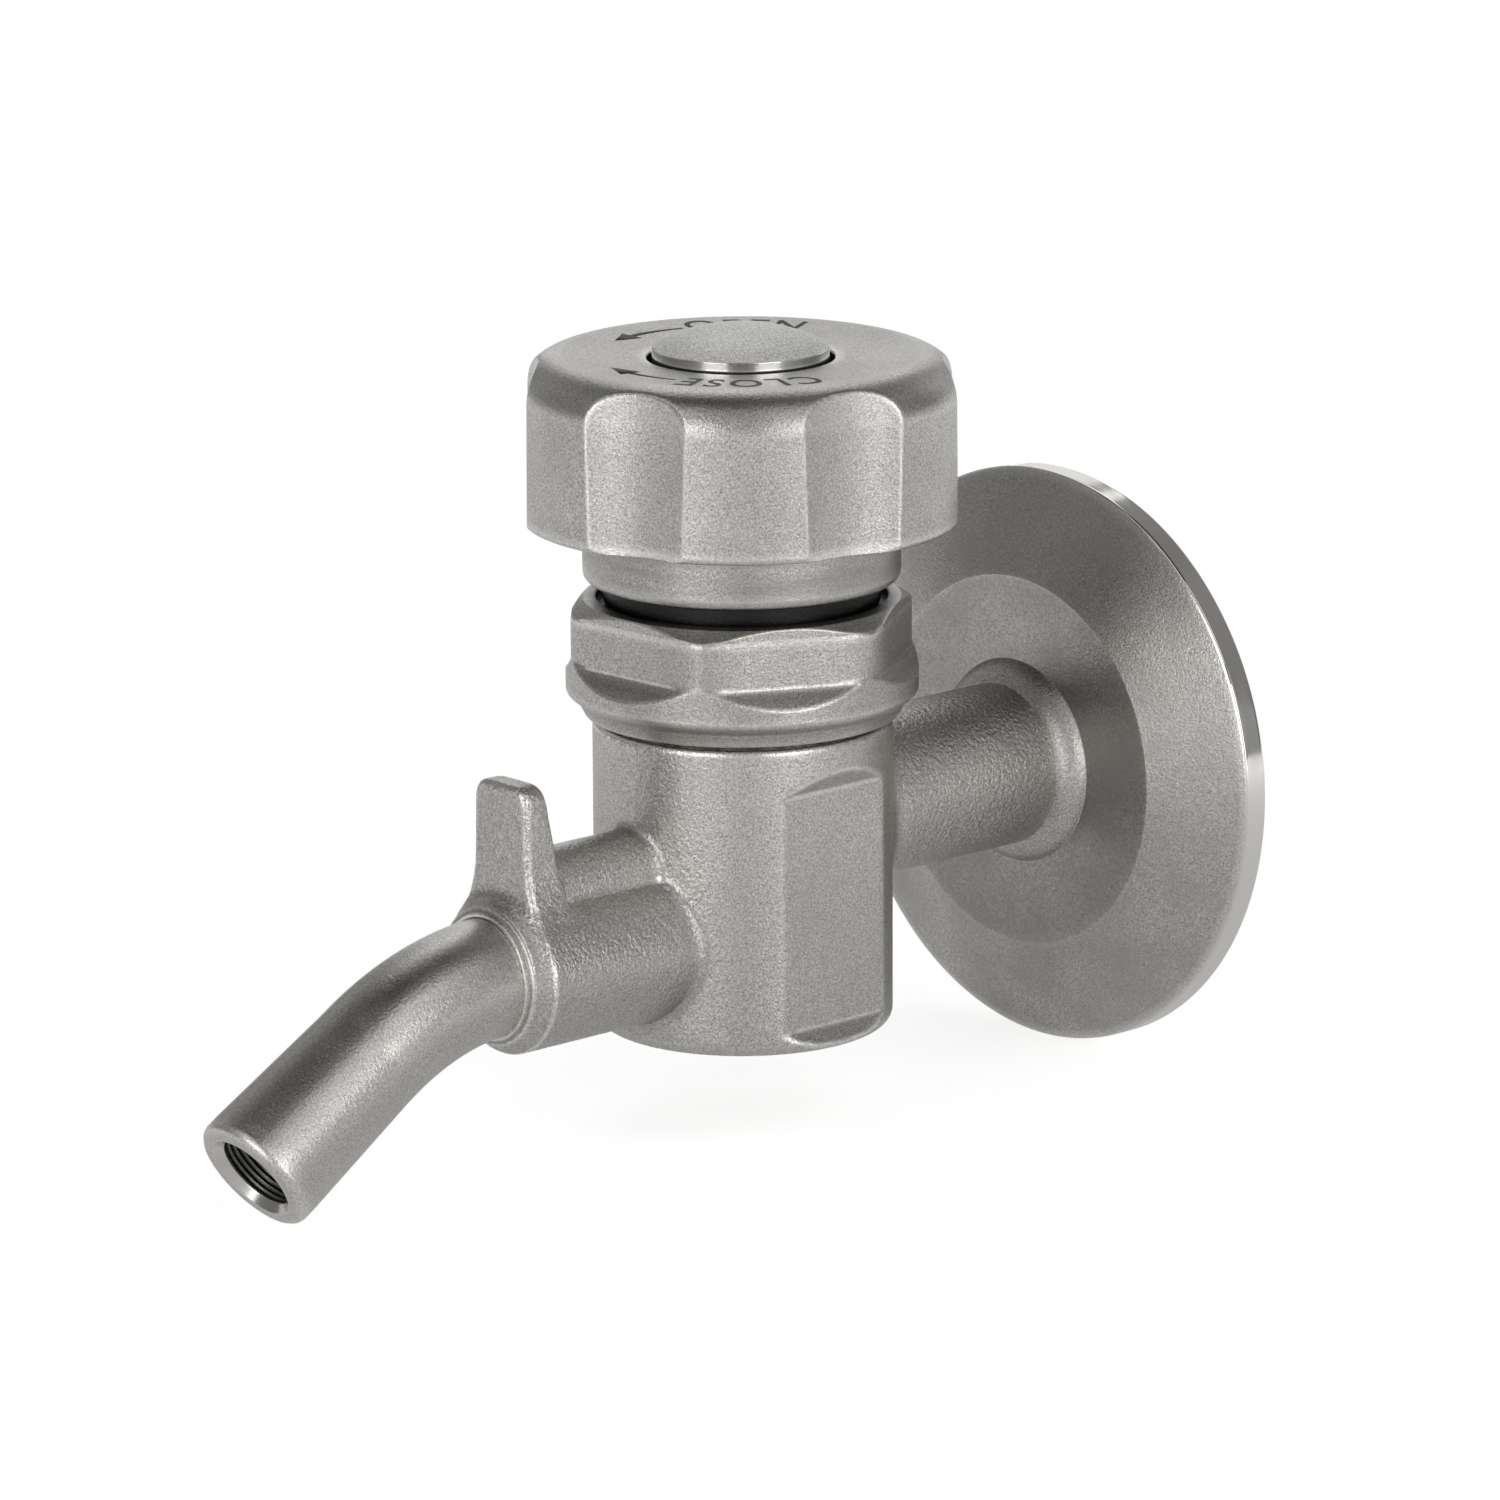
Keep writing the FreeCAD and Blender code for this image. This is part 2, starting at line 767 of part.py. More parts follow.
def make_plunger():
    head_foot = -dim.seat_depth + dim.plug_thickness
    head_top = head_foot + dim.head_thickness
    screw_hole = dim.plug_screw_radius + dim.seam_gap
    hole_roof = head_foot + dim.plug_screw_length
    made = turned_piece("plunger", [
        (screw_hole, head_foot),
        (dim.plug_radius, head_foot),
        (dim.plug_radius, head_top),
        (dim.rod_radius, head_top + dim.head_taper),
        (dim.rod_radius, dim.cup_top),
        (dim.cup_bore, dim.cup_top),
        (dim.cup_bore, dim.cup_floor),
        (0, dim.cup_floor),
        (0, hole_roof),
        (screw_hole, hole_roof),
    ])
    pin_spread = dim.waist_radius + dim.end_play + dim.swivel_pin_radius
    pin_height = (dim.waist_low + dim.waist_high) / 2
    holes = sketch(made, "swivel_holes", "XZ_Plane")
    for sign in (1, -1):
        circle(holes, sign * pin_spread, pin_height, dim.swivel_pin_radius + dim.seam_gap)
    sunk(made, holes, 2 * dim.rod_radius, both_ways=True)
    guide = sketch(made, "guide_hole", "XZ_Plane")
    circle(guide, 0, dim.guide_pin_height, dim.guide_pin_radius + dim.seam_gap)
    sunk(made, guide, dim.rod_radius, backward=True)

    nose_foot = -dim.seat_depth - dim.plug_nose_depth
    nose_radius = dim.seat_bore - dim.plug_gap
    turned_piece("plug_seal", [
        (screw_hole, head_foot),
        (screw_hole, nose_foot),
        (nose_radius, nose_foot),
        (nose_radius, -dim.seat_depth - dim.seat_chamfer),
        (nose_radius + dim.seat_chamfer, -dim.seat_depth),
        (dim.plug_radius, -dim.seat_depth),
        (dim.plug_radius, head_foot),
    ])
    head = nose_foot - dim.plug_screw_thickness
    turned_piece("plug_screw", [
        (0, head),
        (dim.plug_screw_head, head),
        (dim.plug_screw_head, nose_foot),
        (dim.plug_screw_radius, nose_foot),
        (dim.plug_screw_radius, hole_roof - dim.end_play),
        (0, hole_roof - dim.end_play),
    ])
    turned_piece("thrust_disc", [
        (0, dim.cup_floor),
        (dim.cup_bore - dim.tail_gap, dim.cup_floor),
        (dim.cup_bore - dim.tail_gap, dim.cup_floor + dim.thrust_thickness),
        (0, dim.cup_floor + dim.thrust_thickness),
    ])
    half_length = root(dim.rod_radius * dim.rod_radius - (pin_spread + dim.swivel_pin_radius)
                       * (pin_spread + dim.swivel_pin_radius))
    pins = [
        pin(f"swivel_pin_{name}", dim.swivel_pin_radius, 2 * half_length, (0, 1, 0),
            x=sign * pin_spread, y=-half_length, z=pin_height)
        for name, sign in (("left", -1), ("right", 1))
    ]
    group("swivel_pins", pins)
    guide_pin = pin(
        "guide_pin", dim.guide_pin_radius, dim.guide_pin_reach - dim.cup_bore - dim.end_play,
        (0, 1, 0), y=-dim.guide_pin_reach, z=dim.guide_pin_height,
    )
    NODES.append(guide_pin)


# Spindle: swivel tail, screw, and the square that drives the wheel.

def make_spindle():
    tail = dim.cup_bore - dim.tail_gap
    tail_foot = dim.cup_floor + dim.thrust_thickness + dim.end_play
    screw_hole = dim.screw_radius + dim.screw_gap
    square_top = dim.hub_top - dim.drive_short
    hole_foot = dim.hub_top + dim.washer_thickness - dim.screw_length - dim.screw_radius
    made = turned_piece("spindle", [
        (0, tail_foot),
        (tail, tail_foot),
        (tail, dim.waist_low),
        (dim.waist_radius, dim.waist_low),
        (dim.waist_radius, dim.waist_high),
        (tail, dim.waist_high),
        (tail, dim.spindle_foot - dim.spindle_radius + tail),
        (dim.spindle_radius, dim.spindle_foot),
        (dim.spindle_radius, dim.hub_seat),
        (0, dim.hub_seat),
    ], turn=dim.wheel_turn)
    square = sketch(made, "square", "XY_Plane", offset=dim.hub_seat)
    half = dim.drive_across_flats / 2
    outline(square, [(-half, -half), (half, -half), (half, half), (-half, half)])
    raised(made, square, square_top - dim.hub_seat)
    hole = sketch(made, "hole", "XZ_Plane")
    outline(hole, [(0, hole_foot), (screw_hole, hole_foot), (screw_hole, square_top), (0, square_top)])
    turned(made, hole, cut=True)


# Handwheel: turned blank, six shallow flutes, square drive and the cap's well.

def make_handwheel():
    made = body("handwheel", turn=dim.wheel_turn)
    groove = dim.boss_radius - dim.cap_ring_section
    groove_height = dim.hub_top + dim.boss_height / 2
    blank = sketch(made, "blank", "XZ_Plane")
    outline(blank, [
        (0, dim.hub_seat),
        (dim.wheel_recess, dim.hub_seat),
        (dim.wheel_recess, dim.wheel_foot),
        (dim.wheel_radius - dim.wheel_foot_edge, dim.wheel_foot),
        (dim.wheel_radius, dim.wheel_foot + dim.wheel_foot_edge),
        (dim.wheel_radius, dim.wheel_top - dim.wheel_round),
        (dim.wheel_radius - dim.wheel_round, dim.wheel_top, dim.wheel_round),
        (dim.counterbore + dim.counterbore_edge, dim.wheel_top - dim.wheel_dish),
        (dim.counterbore, dim.wheel_top - dim.wheel_dish - dim.counterbore_edge),
        (dim.counterbore, dim.hub_top),
        (dim.boss_radius, dim.hub_top),
        (dim.boss_radius, groove_height - dim.cap_ring_section),
        (groove, groove_height - dim.cap_ring_section),
        (groove, groove_height + dim.cap_ring_section),
        (dim.boss_radius, groove_height + dim.cap_ring_section),
        (dim.boss_radius, dim.hub_top + dim.boss_height),
        (dim.boss_bore, dim.hub_top + dim.boss_height),
        (dim.boss_bore, dim.hub_top),
        (0, dim.hub_top),
    ])
    turned(made, blank)

    flute = sketch(made, "flute", "XY_Plane")
    flute_angle = as_size(FULL_TURN / WHEEL_LOBES / 2)
    half_angle = flute_angle - dim.lobe_half_angle
    half_chord = dim.wheel_radius * sine(half_angle)
    out = dim.wheel_radius * cosine(half_angle) + root(
        dim.flute_radius * dim.flute_radius - half_chord * half_chord)
    circle(flute, out * cosine(flute_angle), out * sine(flute_angle), dim.flute_radius)
    milled = sunk(made, flute, 2 * dim.wheel_top + dim.wheel_round, both_ways=True)
    around(made, milled, WHEEL_LOBES)

    square = sketch(made, "square", "XY_Plane", offset=dim.hub_seat)
    half = dim.drive_across_flats / 2 + dim.drive_gap
    outline(square, [(-half, -half), (half, -half), (half, half), (-half, half)])
    sunk(made, square, dim.hub_top - dim.hub_seat, backward=True)

    turned_piece("skirt_collar", [
        (dim.collar_bore, dim.skirt_foot),
        (dim.skirt_radius, dim.skirt_foot),
        (dim.skirt_radius, dim.collar_foot),
        (dim.collar_radius - dim.collar_round, dim.collar_foot),
        (dim.collar_radius, dim.collar_foot + dim.collar_round, dim.collar_round),
        (dim.collar_radius, dim.wheel_foot),
        (dim.wheel_recess - dim.seam_gap, dim.wheel_foot),
        (dim.wheel_recess - dim.seam_gap, dim.wheel_foot + dim.collar_spigot),
        (dim.collar_bore, dim.wheel_foot + dim.collar_spigot),
    ])


# What holds the wheel on the spindle, and the cap over it.

def make_wheel_fastening():
    washer_top = dim.hub_top + dim.washer_thickness
    hole = dim.screw_radius + dim.screw_gap
    turned_piece("wheel_washer", [
        (hole, dim.hub_top),
        (dim.washer_radius, dim.hub_top),
        (dim.washer_radius, washer_top),
        (hole, washer_top),
    ])
    screw = turned_piece("wheel_screw", [
        (0, washer_top - dim.screw_length),
        (dim.screw_radius, washer_top - dim.screw_length),
        (dim.screw_radius, washer_top),
        (dim.screw_head_radius, washer_top),
        (dim.screw_head_radius, washer_top + dim.screw_head_height),
        (0, washer_top + dim.screw_head_height),
    ])
    head_top = washer_top + dim.screw_head_height
    socket = sketch(screw, "socket", "XY_Plane", offset=head_top)
    side_angle = FULL_TURN / SOCKET_SIDES
    corner = dim.screw_socket / cosine(as_size(side_angle / 2))
    outline(socket, [
        (corner * cosine(as_size(side_angle * side)), corner * sine(as_size(side_angle * side)))
        for side in range(SOCKET_SIDES)
    ])
    sunk(screw, socket, dim.screw_socket_depth)

    chord = dim.cap_radius - dim.cap_edge
    dome = (chord * chord + dim.cap_rise * dim.cap_rise) / (2 * dim.cap_rise)
    inner = dim.cap_radius - dim.cap_wall
    roof = dim.cap_rim - dim.cap_edge
    inner_dome = dome - dim.cap_wall
    inner_rise = inner_dome - root(inner_dome * inner_dome - inner * inner)
    turned_piece("dome_cap", [
        (inner, dim.cap_foot),
        (dim.cap_radius, dim.cap_foot),
        (dim.cap_radius, dim.cap_rim - dim.cap_edge),
        (chord, dim.cap_rim),
        (0, dim.cap_rim + dim.cap_rise, dome),
        (0, roof + inner_rise - dim.cap_wall / 2),
        (inner, roof - dim.cap_wall / 2, -inner_dome),
    ])
    cap_ring = ring(
        "cap_ring",
        dim.boss_radius,
        dim.cap_ring_section - dim.seam_gap,
        dim.hub_top + dim.boss_height / 2,
    )
    NODES.append(cap_ring)


make_valve_body()
make_ferrule()
make_spout()
make_bonnet()
make_union_nut()
make_plunger()
make_spindle()
make_handwheel()
make_wheel_fastening()
doc.recompute()

for item in doc.Objects:
    if "Invalid" in item.State or "Error" in item.State:
        raise RuntimeError(f"{item.Name} failed: {item.State}")
os.makedirs("parts", exist_ok=True)
for node in NODES:
    shape = node.Shape
    if shape.isNull() or not shape.isValid():
        raise RuntimeError(f"{node.Label} has no valid shape")
    shape.exportStep(os.path.join("parts", f"{node.Label}.step"))
    print(f"{node.Label:16} {len(shape.Solids)} solid  {shape.Volume:9.2f} mm3")
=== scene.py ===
# %% [markdown]
# # A sanitary sampling valve
#
# This valve takes small samples from a tank. A clamp flange holds it on the tank, a cast
# body carries the seat, and the wheel on top lifts a plug so that a little liquid runs
# out of the bent spout. Almost all of it is stainless steel with a bead-blasted skin.
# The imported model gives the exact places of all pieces. Here each visible piece gets the
# soft edges, cast fillets and finish that make steel look like steel.

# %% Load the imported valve
import bmesh
import bpy
import json
import math
import numpy as np
from mathutils import Matrix


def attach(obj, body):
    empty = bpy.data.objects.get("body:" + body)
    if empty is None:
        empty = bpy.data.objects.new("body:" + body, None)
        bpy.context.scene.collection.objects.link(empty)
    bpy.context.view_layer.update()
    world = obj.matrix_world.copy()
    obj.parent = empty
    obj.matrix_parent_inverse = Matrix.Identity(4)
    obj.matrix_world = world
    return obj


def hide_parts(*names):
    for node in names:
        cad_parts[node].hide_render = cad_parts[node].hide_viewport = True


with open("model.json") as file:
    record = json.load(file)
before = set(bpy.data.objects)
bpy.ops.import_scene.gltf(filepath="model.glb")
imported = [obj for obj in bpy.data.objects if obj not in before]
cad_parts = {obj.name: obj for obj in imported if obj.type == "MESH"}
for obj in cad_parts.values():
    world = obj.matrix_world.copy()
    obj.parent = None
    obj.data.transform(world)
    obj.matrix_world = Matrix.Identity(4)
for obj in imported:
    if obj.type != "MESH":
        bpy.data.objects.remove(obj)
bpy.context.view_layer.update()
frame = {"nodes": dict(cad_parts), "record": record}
nodes = frame["nodes"]
MM = 0.001
STEM_Y = -37.0
STEM = np.array([0.0, STEM_Y, 0.0])

# %% [markdown]
# ## Camera
#
# A product photographer stands far back with a long lens, so that round parts keep their
# shape. The camera looks at the valve from the front right, a little from above. Its
# place is given by two angles, a small roll, and the distance to the point where the
# stem crosses the inlet axis.

# %% Camera
CAMERA_AZIMUTH = math.radians(48.14808)
CAMERA_HEIGHT = math.radians(14.18348)
CAMERA_ROLL = math.radians(-0.26116)
CAMERA_RIGHT = 0.59093
CAMERA_UP = 6.08761
CAMERA_DISTANCE = 673.0728
LENS = 192.0
SENSOR = 36.0


def towards(azimuth, height):
    """The unit vector from the valve to a place seen at these angles: azimuth 0 is on the
    spout's side and 90 degrees is on +X, and height counts up from the level."""
    level = math.cos(height)
    return np.array([math.sin(azimuth) * level, -math.cos(azimuth) * level, math.sin(height)])


def camera_axes():
    """Right, up and back of the camera: back points from the valve to the camera, right
    is level, up is their cross product, and the roll turns right and up about back."""
    back = towards(CAMERA_AZIMUTH, CAMERA_HEIGHT)
    right = np.array([math.cos(CAMERA_AZIMUTH), math.sin(CAMERA_AZIMUTH), 0.0])
    up = np.cross(back, right)
    turn, tilt = math.cos(CAMERA_ROLL), math.sin(CAMERA_ROLL)
    return right * turn + up * tilt, up * turn - right * tilt, back


def stand(side, top, away, spot):
    """The matrix that puts an object at spot with these three axes as its columns."""
    rows = [[side[row], top[row], away[row], spot[row]] for row in range(3)]
    return Matrix(rows + [[0.0, 0.0, 0.0, 1.0]])


right, up, back = camera_axes()
place = back * CAMERA_DISTANCE + right * CAMERA_RIGHT + up * CAMERA_UP + STEM
camera_data = bpy.data.cameras.new("camera")
camera_data.lens = LENS
camera_data.sensor_width = SENSOR
camera_data.clip_start = 0.01
camera = bpy.data.objects.new("camera", camera_data)
camera.matrix_world = stand(right, up, back, place * MM)
bpy.context.scene.collection.objects.link(camera)
bpy.context.scene.camera = camera
bpy.context.scene.view_settings.view_transform = "Standard"
print("camera stands", round(CAMERA_DISTANCE), "mm away")

# %% [markdown]
# ## From numbers to a mesh
#
# Every surface below is worked out as a grid of points, row by row and column by column.
# One helper turns such a grid into a mesh: it joins neighbours with four-sided faces,
# closes the grid where it runs round, and checks with the enclosed volume that the faces
# point outwards. Each point may carry numbers that the finishes read: edge is above zero
# where wear and a painted highlight brighten the metal, mostly on outer edges, and below
# zero where painted shade darkens it, in inner corners and recesses, down to near black.
# Peel is how rough a casting is there, and polish is 1 where the metal was polished.

# %% Mesh from a grid
def enclosed(points, faces):
    """The volume inside four-sided faces: a sixth of the sum over their triangles of
    a . (b x c). It is negative where the faces look inwards."""
    a, b, c, d = (points[faces[:, corner]] for corner in range(4))
    return np.einsum("ij,ij->i", a, np.cross(b, c) + np.cross(c, d)).sum() / 6


def put_in_scene(name, points, faces, **marks):
    """An object from points in millimetres and rows of four corners, with its faces
    turned round if they look inwards, and one number per point for each of the marks."""
    volume = enclosed(points, faces)
    if volume < 0:
        faces = faces[:, ::-1]
    mesh = bpy.data.meshes.new(name)
    mesh.vertices.add(len(points))
    mesh.vertices.foreach_set("co", (points * MM).astype(np.float32).ravel())
    mesh.loops.add(faces.size)
    mesh.polygons.add(len(faces))
    mesh.polygons.foreach_set("loop_start", np.arange(0, faces.size, 4, dtype=np.int32))
    mesh.loops.foreach_set("vertex_index", faces.astype(np.int32).ravel())
    mesh.polygons.foreach_set("use_smooth", np.ones(len(faces), dtype=bool))
    mesh.update(calc_edges=True)
    mesh.validate()
    for label, values in marks.items():
        layer = mesh.attributes.new(label, "FLOAT", "POINT")
        layer.data.foreach_set("value", values.astype(np.float32).ravel())
    made = bpy.data.objects.new(name, mesh)
    bpy.context.scene.collection.objects.link(made)
    print(f"{name}: {len(points)} points, {len(faces)} faces, {abs(volume):.0f} mm3")
    return made


def grid_faces(rows, columns, close_rows, close_columns):
    """The corners of the faces between neighbours in a grid of rows x columns points."""
    numbers = np.arange(rows * columns).reshape(rows, columns)
    if close_rows:
        numbers = np.vstack([numbers, numbers[:1]])
    if close_columns:
        numbers = np.hstack([numbers, numbers[:, :1]])
    corners = [numbers[:-1, :-1], numbers[1:, :-1], numbers[1:, 1:], numbers[:-1, 1:]]
    return np.stack(corners, -1).reshape(-1, 4)


print("faces between 3 x 4 points:", len(grid_faces(3, 4, False, False)))

# %% [markdown]
# ## Profiles with worn corners
#
# No corner of a real metal piece is a perfect line. The lathe tool, the blasting and
# years of hands leave it a small radius, and that radius is what catches the light. So
# each turned piece starts as a list of sharp corners, each with the radius of its
# rounding, and a helper puts an arc in place of every corner.

# %% Rounded profile
SPACING = 0.8
ARC_SPACING = 0.3
EDGE_FADE = 0.35
FULL_TURN = 60
RUN_START, RUN_CLEAR, RUN_LEAST = 0.12, 0.2, 0.4


def rounded_profile(corners):
    """A profile through corners (r, h, round, spacing), anticlockwise round the metal,
    with each corner replaced by an arc of that radius, and points at that spacing on the
    run that follows. The arc starts round * tan(turn / 2) from the corner. Returns the
    points and, beside each, how near it is to an outer edge (+) or an inner corner (-):
    the value fades as exp(-distance / EDGE_FADE) along the profile."""
    corners = np.array([(*corner, SPACING)[:4] for corner in corners], float)
    spots = corners[:, :2]
    came, goes = spots - np.roll(spots, 1, 0), np.roll(spots, -1, 0) - spots
    came /= np.linalg.norm(came, axis=1)[:, None]
    goes /= np.linalg.norm(goes, axis=1)[:, None]
    turn = np.arctan2(came[:, 0] * goes[:, 1] - came[:, 1] * goes[:, 0], (came * goes).sum(1))
    cut = corners[:, 2] * np.abs(np.tan(turn / 2))
    sharp = np.clip(np.degrees(turn) / FULL_TURN, -1, 1) / (1 + corners[:, 2])
    points, values = [], []
    for index, (_, _, rounding, spacing) in enumerate(corners):
        following = (index + 1) % len(corners)
        arc_points = 1
        if rounding:
            arc_points = max(4, int(rounding * abs(turn[index]) / ARC_SPACING) + 1)
        angle = np.linspace(0, 1, arc_points) * turn[index]
        left = np.array([-came[index, 1], came[index, 0]]) * np.sign(turn[index])
        start = spots[index] - came[index] * cut[index]
        arc = start + rounding * (
            np.abs(np.sin(angle))[:, None] * came[index] + (1 - np.cos(angle))[:, None] * left)
        end = spots[following] - came[following] * cut[following]
        run = np.linalg.norm(end - arc[-1])
        points.append(arc)
        values.append(np.full(arc_points, sharp[index]))
        if run > RUN_LEAST and corners[following, 0] > 0:
            steps = np.linspace(0, run, max(2, int(run / spacing) + 1))[1:-1]
            steps = steps[(steps > RUN_CLEAR) & (steps < run - RUN_CLEAR)]
            steps = np.concatenate([[RUN_START], steps, [run - RUN_START]])
            points.append(arc[-1] + (end - arc[-1]) / run * steps[:, None])
            fading = sharp[index] * np.exp(-steps / EDGE_FADE)
            rising = sharp[following] * np.exp(-(run - steps) / EDGE_FADE)
            values.append(fading + rising)
    return np.concatenate(points), np.concatenate(values)


trial, _ = rounded_profile([(1, 0, 0.2), (3, 0, 0.2), (3, 2, 0.2), (1, 2, 0.2)])
print("a rounded square has", len(trial), "points")

# %% [markdown]
# ## Turned pieces
#
# Flange, nut, wheel, collar and cap were all made on a lathe first, so one helper makes
# them all: it carries the rounded profile round an axis. Flats and flutes, which a mill
# would cut afterwards, come from a function that changes the radius on the way.

# %% Turned pieces
MERGE = 1e-7


def revolve(name, corners, steps=192, inlet=False, drop=0.0, shape=None, polish=None):
    """A turned piece: every profile point (r, h) goes round the axis in equal steps, so a
    point is (r cos a, r sin a, h). shape(r, h, a, edge) may change r on the way, and
    polish(r, h) says where the piece is polished. The axis is the stem, or with inlet the
    Y axis, lowered by drop. A profile that starts and ends on the axis stays open there,
    and the points that meet on the axis become one."""
    profile, sharp = rounded_profile(corners)
    on_axis = profile[0, 0] == 0
    angle = np.linspace(0, 2 * np.pi, steps, endpoint=False)
    radius = np.repeat(profile[:, :1], steps, 1)
    height = np.repeat(profile[:, 1:], steps, 1)
    edge = np.repeat(sharp[:, None], steps, 1)
    if shape is not None:
        radius, edge = shape(radius, height, angle[None, :], edge)
    across, along = radius * np.cos(angle), radius * np.sin(angle)
    if inlet:
        points = np.stack([across, height, along - drop], -1)
    else:
        points = np.stack([across, along + STEM_Y, height], -1)
    faces = grid_faces(len(profile), steps, not on_axis, True)
    marks = {"edge": edge}
    if polish is not None:
        marks["polish"] = polish(radius, height)
    made = put_in_scene(name, points.reshape(-1, 3), faces, **marks)
    if on_axis:
        work = bmesh.new()
        work.from_mesh(made.data)
        bmesh.ops.remove_doubles(work, verts=work.verts, dist=MERGE)
        work.to_mesh(made.data)
        work.free()
    return made

# %% [markdown]
# ## The cast body as one skin
#
# The barrel, the inlet neck, the outlet stub with its rib, and the upright lug were
# poured as one casting, so they flow into each other with small soft fillets. Joining
# separate tubes would leave hard seams. Instead the body is written as one function that
# is negative inside the metal and positive outside. Shapes join by a smooth minimum,
# which blends them over a chosen width, and bores are taken away by a smooth maximum.

# %% Joining and rods
def joined(a, b, width):
    """Smooth minimum: the lesser of a and b, and less still by h (1 - h) width where
    they are nearly equal, with h = 0.5 + (b - a) / (2 width) kept between 0 and 1."""
    h = np.clip(0.5 + 0.5 * (b - a) / width, 0, 1)
    return b + (a - b) * h - width * h * (1 - h)


def shared(a, b, width):
    """Smooth maximum, the smooth minimum turned over."""
    return -joined(-a, -b, width)


def rod(u, v, length, radius, end, round_edge):
    """Distance to a rod of a radius that ends at length = end, with a rounded rim."""
    out = np.hypot(u, v) - radius + round_edge
    past = length - end + round_edge
    beyond = np.hypot(np.maximum(out, 0), np.maximum(past, 0))
    return np.minimum(np.maximum(out, past), 0) + beyond - round_edge


print("1 and 1 joined over 0.4:", joined(1.0, 1.0, 0.4))

# %% [markdown]
# ## The body's sizes
#
# All lengths are in millimetres. Heights count from the inlet's axis, and lengths along
# the arms count from the stem. The lug leans: its back face runs out by a share of how
# far below its top a point is, and its sides flare towards the foot.

# %% The body's skin
BARREL, BARREL_FOOT, BARREL_TOP = 12.6, -17.1, 9.3
FLAT_AT, FLAT_FOOT, FLAT_TOP, FLAT_SLOPE = 11.3, -15.2, 5.1, 0.75
NECK, NECK_END = 7.05, 37.0
STUB, STUB_END, STUB_DROP, NOSE, NOSE_END = 6.85, 26.75, 8.05, 5.85, 28.1
RIB, RIB_DROP = 3.4, 1.7
LUG_HALF, LUG_TOP, LUG_THICK, LUG_SLOPE, LUG_REACH = 3.2, 8.1, 2.3, 0.173, 14
SLOPE_LENGTH = 1.015
THREAD, NECK_TOP, THREAD_RISE, THREAD_WAVE = 11.0, 15.5, 1.5, 0.25
CHAMBER, CHAMBER_FLOOR = 7.4, -4.2
SEAT, SEAT_FLOOR = 3.4, -11.05
INLET, OUTLET, SOCKET = 4.0, 2.5, 5.14


def lug_skin(x, y, z):
    """The upright lug: between its back and front faces, within its sides, and rounded
    over its crown. It ends at the stub's axis, inside the stub."""
    fall = np.clip(LUG_TOP - z, 0, LUG_REACH)
    back = (y + STUB_END - LUG_THICK - LUG_SLOPE * fall) / SLOPE_LENGTH
    front = -y - STUB_END
    flare = 1.1 * np.clip((fall - 6.5) / 4.5, 0, 1) ** 2
    side = np.abs(x) - LUG_HALF - 0.03 * fall - flare
    crown = shared(side, z - LUG_TOP, 1.7)
    lug = shared(crown, shared(back, front, 0.5), 0.6)
    return shared(lug, -z - STUB_DROP, 0.5)


def hollow_skin(x, y, z):
    """All that is bored out: the chamber, the seat below it, the inlet, the outlet, and
    the socket that takes the spout."""
    down = z + STUB_DROP
    chamber = np.maximum(np.hypot(x, y) - CHAMBER, CHAMBER_FLOOR - z)
    seat = np.maximum(np.hypot(x, y) - SEAT, SEAT_FLOOR - z)
    inlet = np.maximum(np.hypot(x, z) - INLET, -y)
    outlet = np.maximum(np.hypot(x, down) - OUTLET, y)
    socket = np.maximum(np.hypot(x, down) - SOCKET, y + STUB_END)
    return np.minimum.reduce([chamber, seat, inlet, outlet, socket])


def body_skin(x, y, z):
    """How far a point is from the body's skin, y counted from the stem. Barrel, neck,
    stub, rib and lug are joined smoothly, and then the bores are taken out."""
    middle = (BARREL_TOP + BARREL_FOOT) / 2
    half = (BARREL_TOP - BARREL_FOOT) / 2
    upper = rod(x, y, z - middle, BARREL, half, 0.45)
    lower = rod(x, y, middle - z, BARREL, half, 1.2)
    slope_top = np.maximum(z - FLAT_TOP, 0) * FLAT_SLOPE
    slope_foot = np.maximum(FLAT_FOOT - z, 0) * FLAT_SLOPE
    flat = np.abs(x) - (FLAT_AT + slope_top + slope_foot)
    barrel = shared(np.where(z > middle, upper, lower), flat, 0.16)
    wave = THREAD_WAVE * (0.5 + 0.5 * np.cos(2 * np.pi * z / THREAD_RISE))
    screw = rod(x, y, z - middle, THREAD - wave, NECK_TOP - middle, 0.3)
    screw = np.maximum(screw, middle - z)
    neck = np.maximum(rod(x, z, y, NECK, NECK_END, 0.15), -y)
    taper = np.clip((-y - STUB_END + 0.1) / (NOSE_END - STUB_END), 0, 1) * (STUB - NOSE)
    stub = np.maximum(rod(x, z + STUB_DROP, -y, STUB - taper, NOSE_END, 0.15), y)
    rib = np.maximum(rod(x, z + RIB_DROP, -y, RIB, STUB_END - LUG_THICK / 2, 0.2), y)
    stub = joined(stub, rib, 0.4)
    stub = joined(stub, lug_skin(x, y, z), 0.5)
    metal = joined(barrel, neck, 1.2)
    metal = joined(metal, stub, 0.7)
    metal = joined(metal, screw, 0.1)
    return shared(metal, -hollow_skin(x, y, z), 0.25)


beside = body_skin(np.array(0.0), np.array(BARREL), np.array(-12.0))
print("skin at the barrel's side:", round(float(beside), 3))

# %% [markdown]
# ## Wrapping the skin in a net
#
# The function says only inside or outside, so it has to be meshed. Surface nets do that:
# space is cut into small cubes, each cube that the skin crosses gets one point, and
# each cube edge that it crosses gets one face between the four cubes around it.

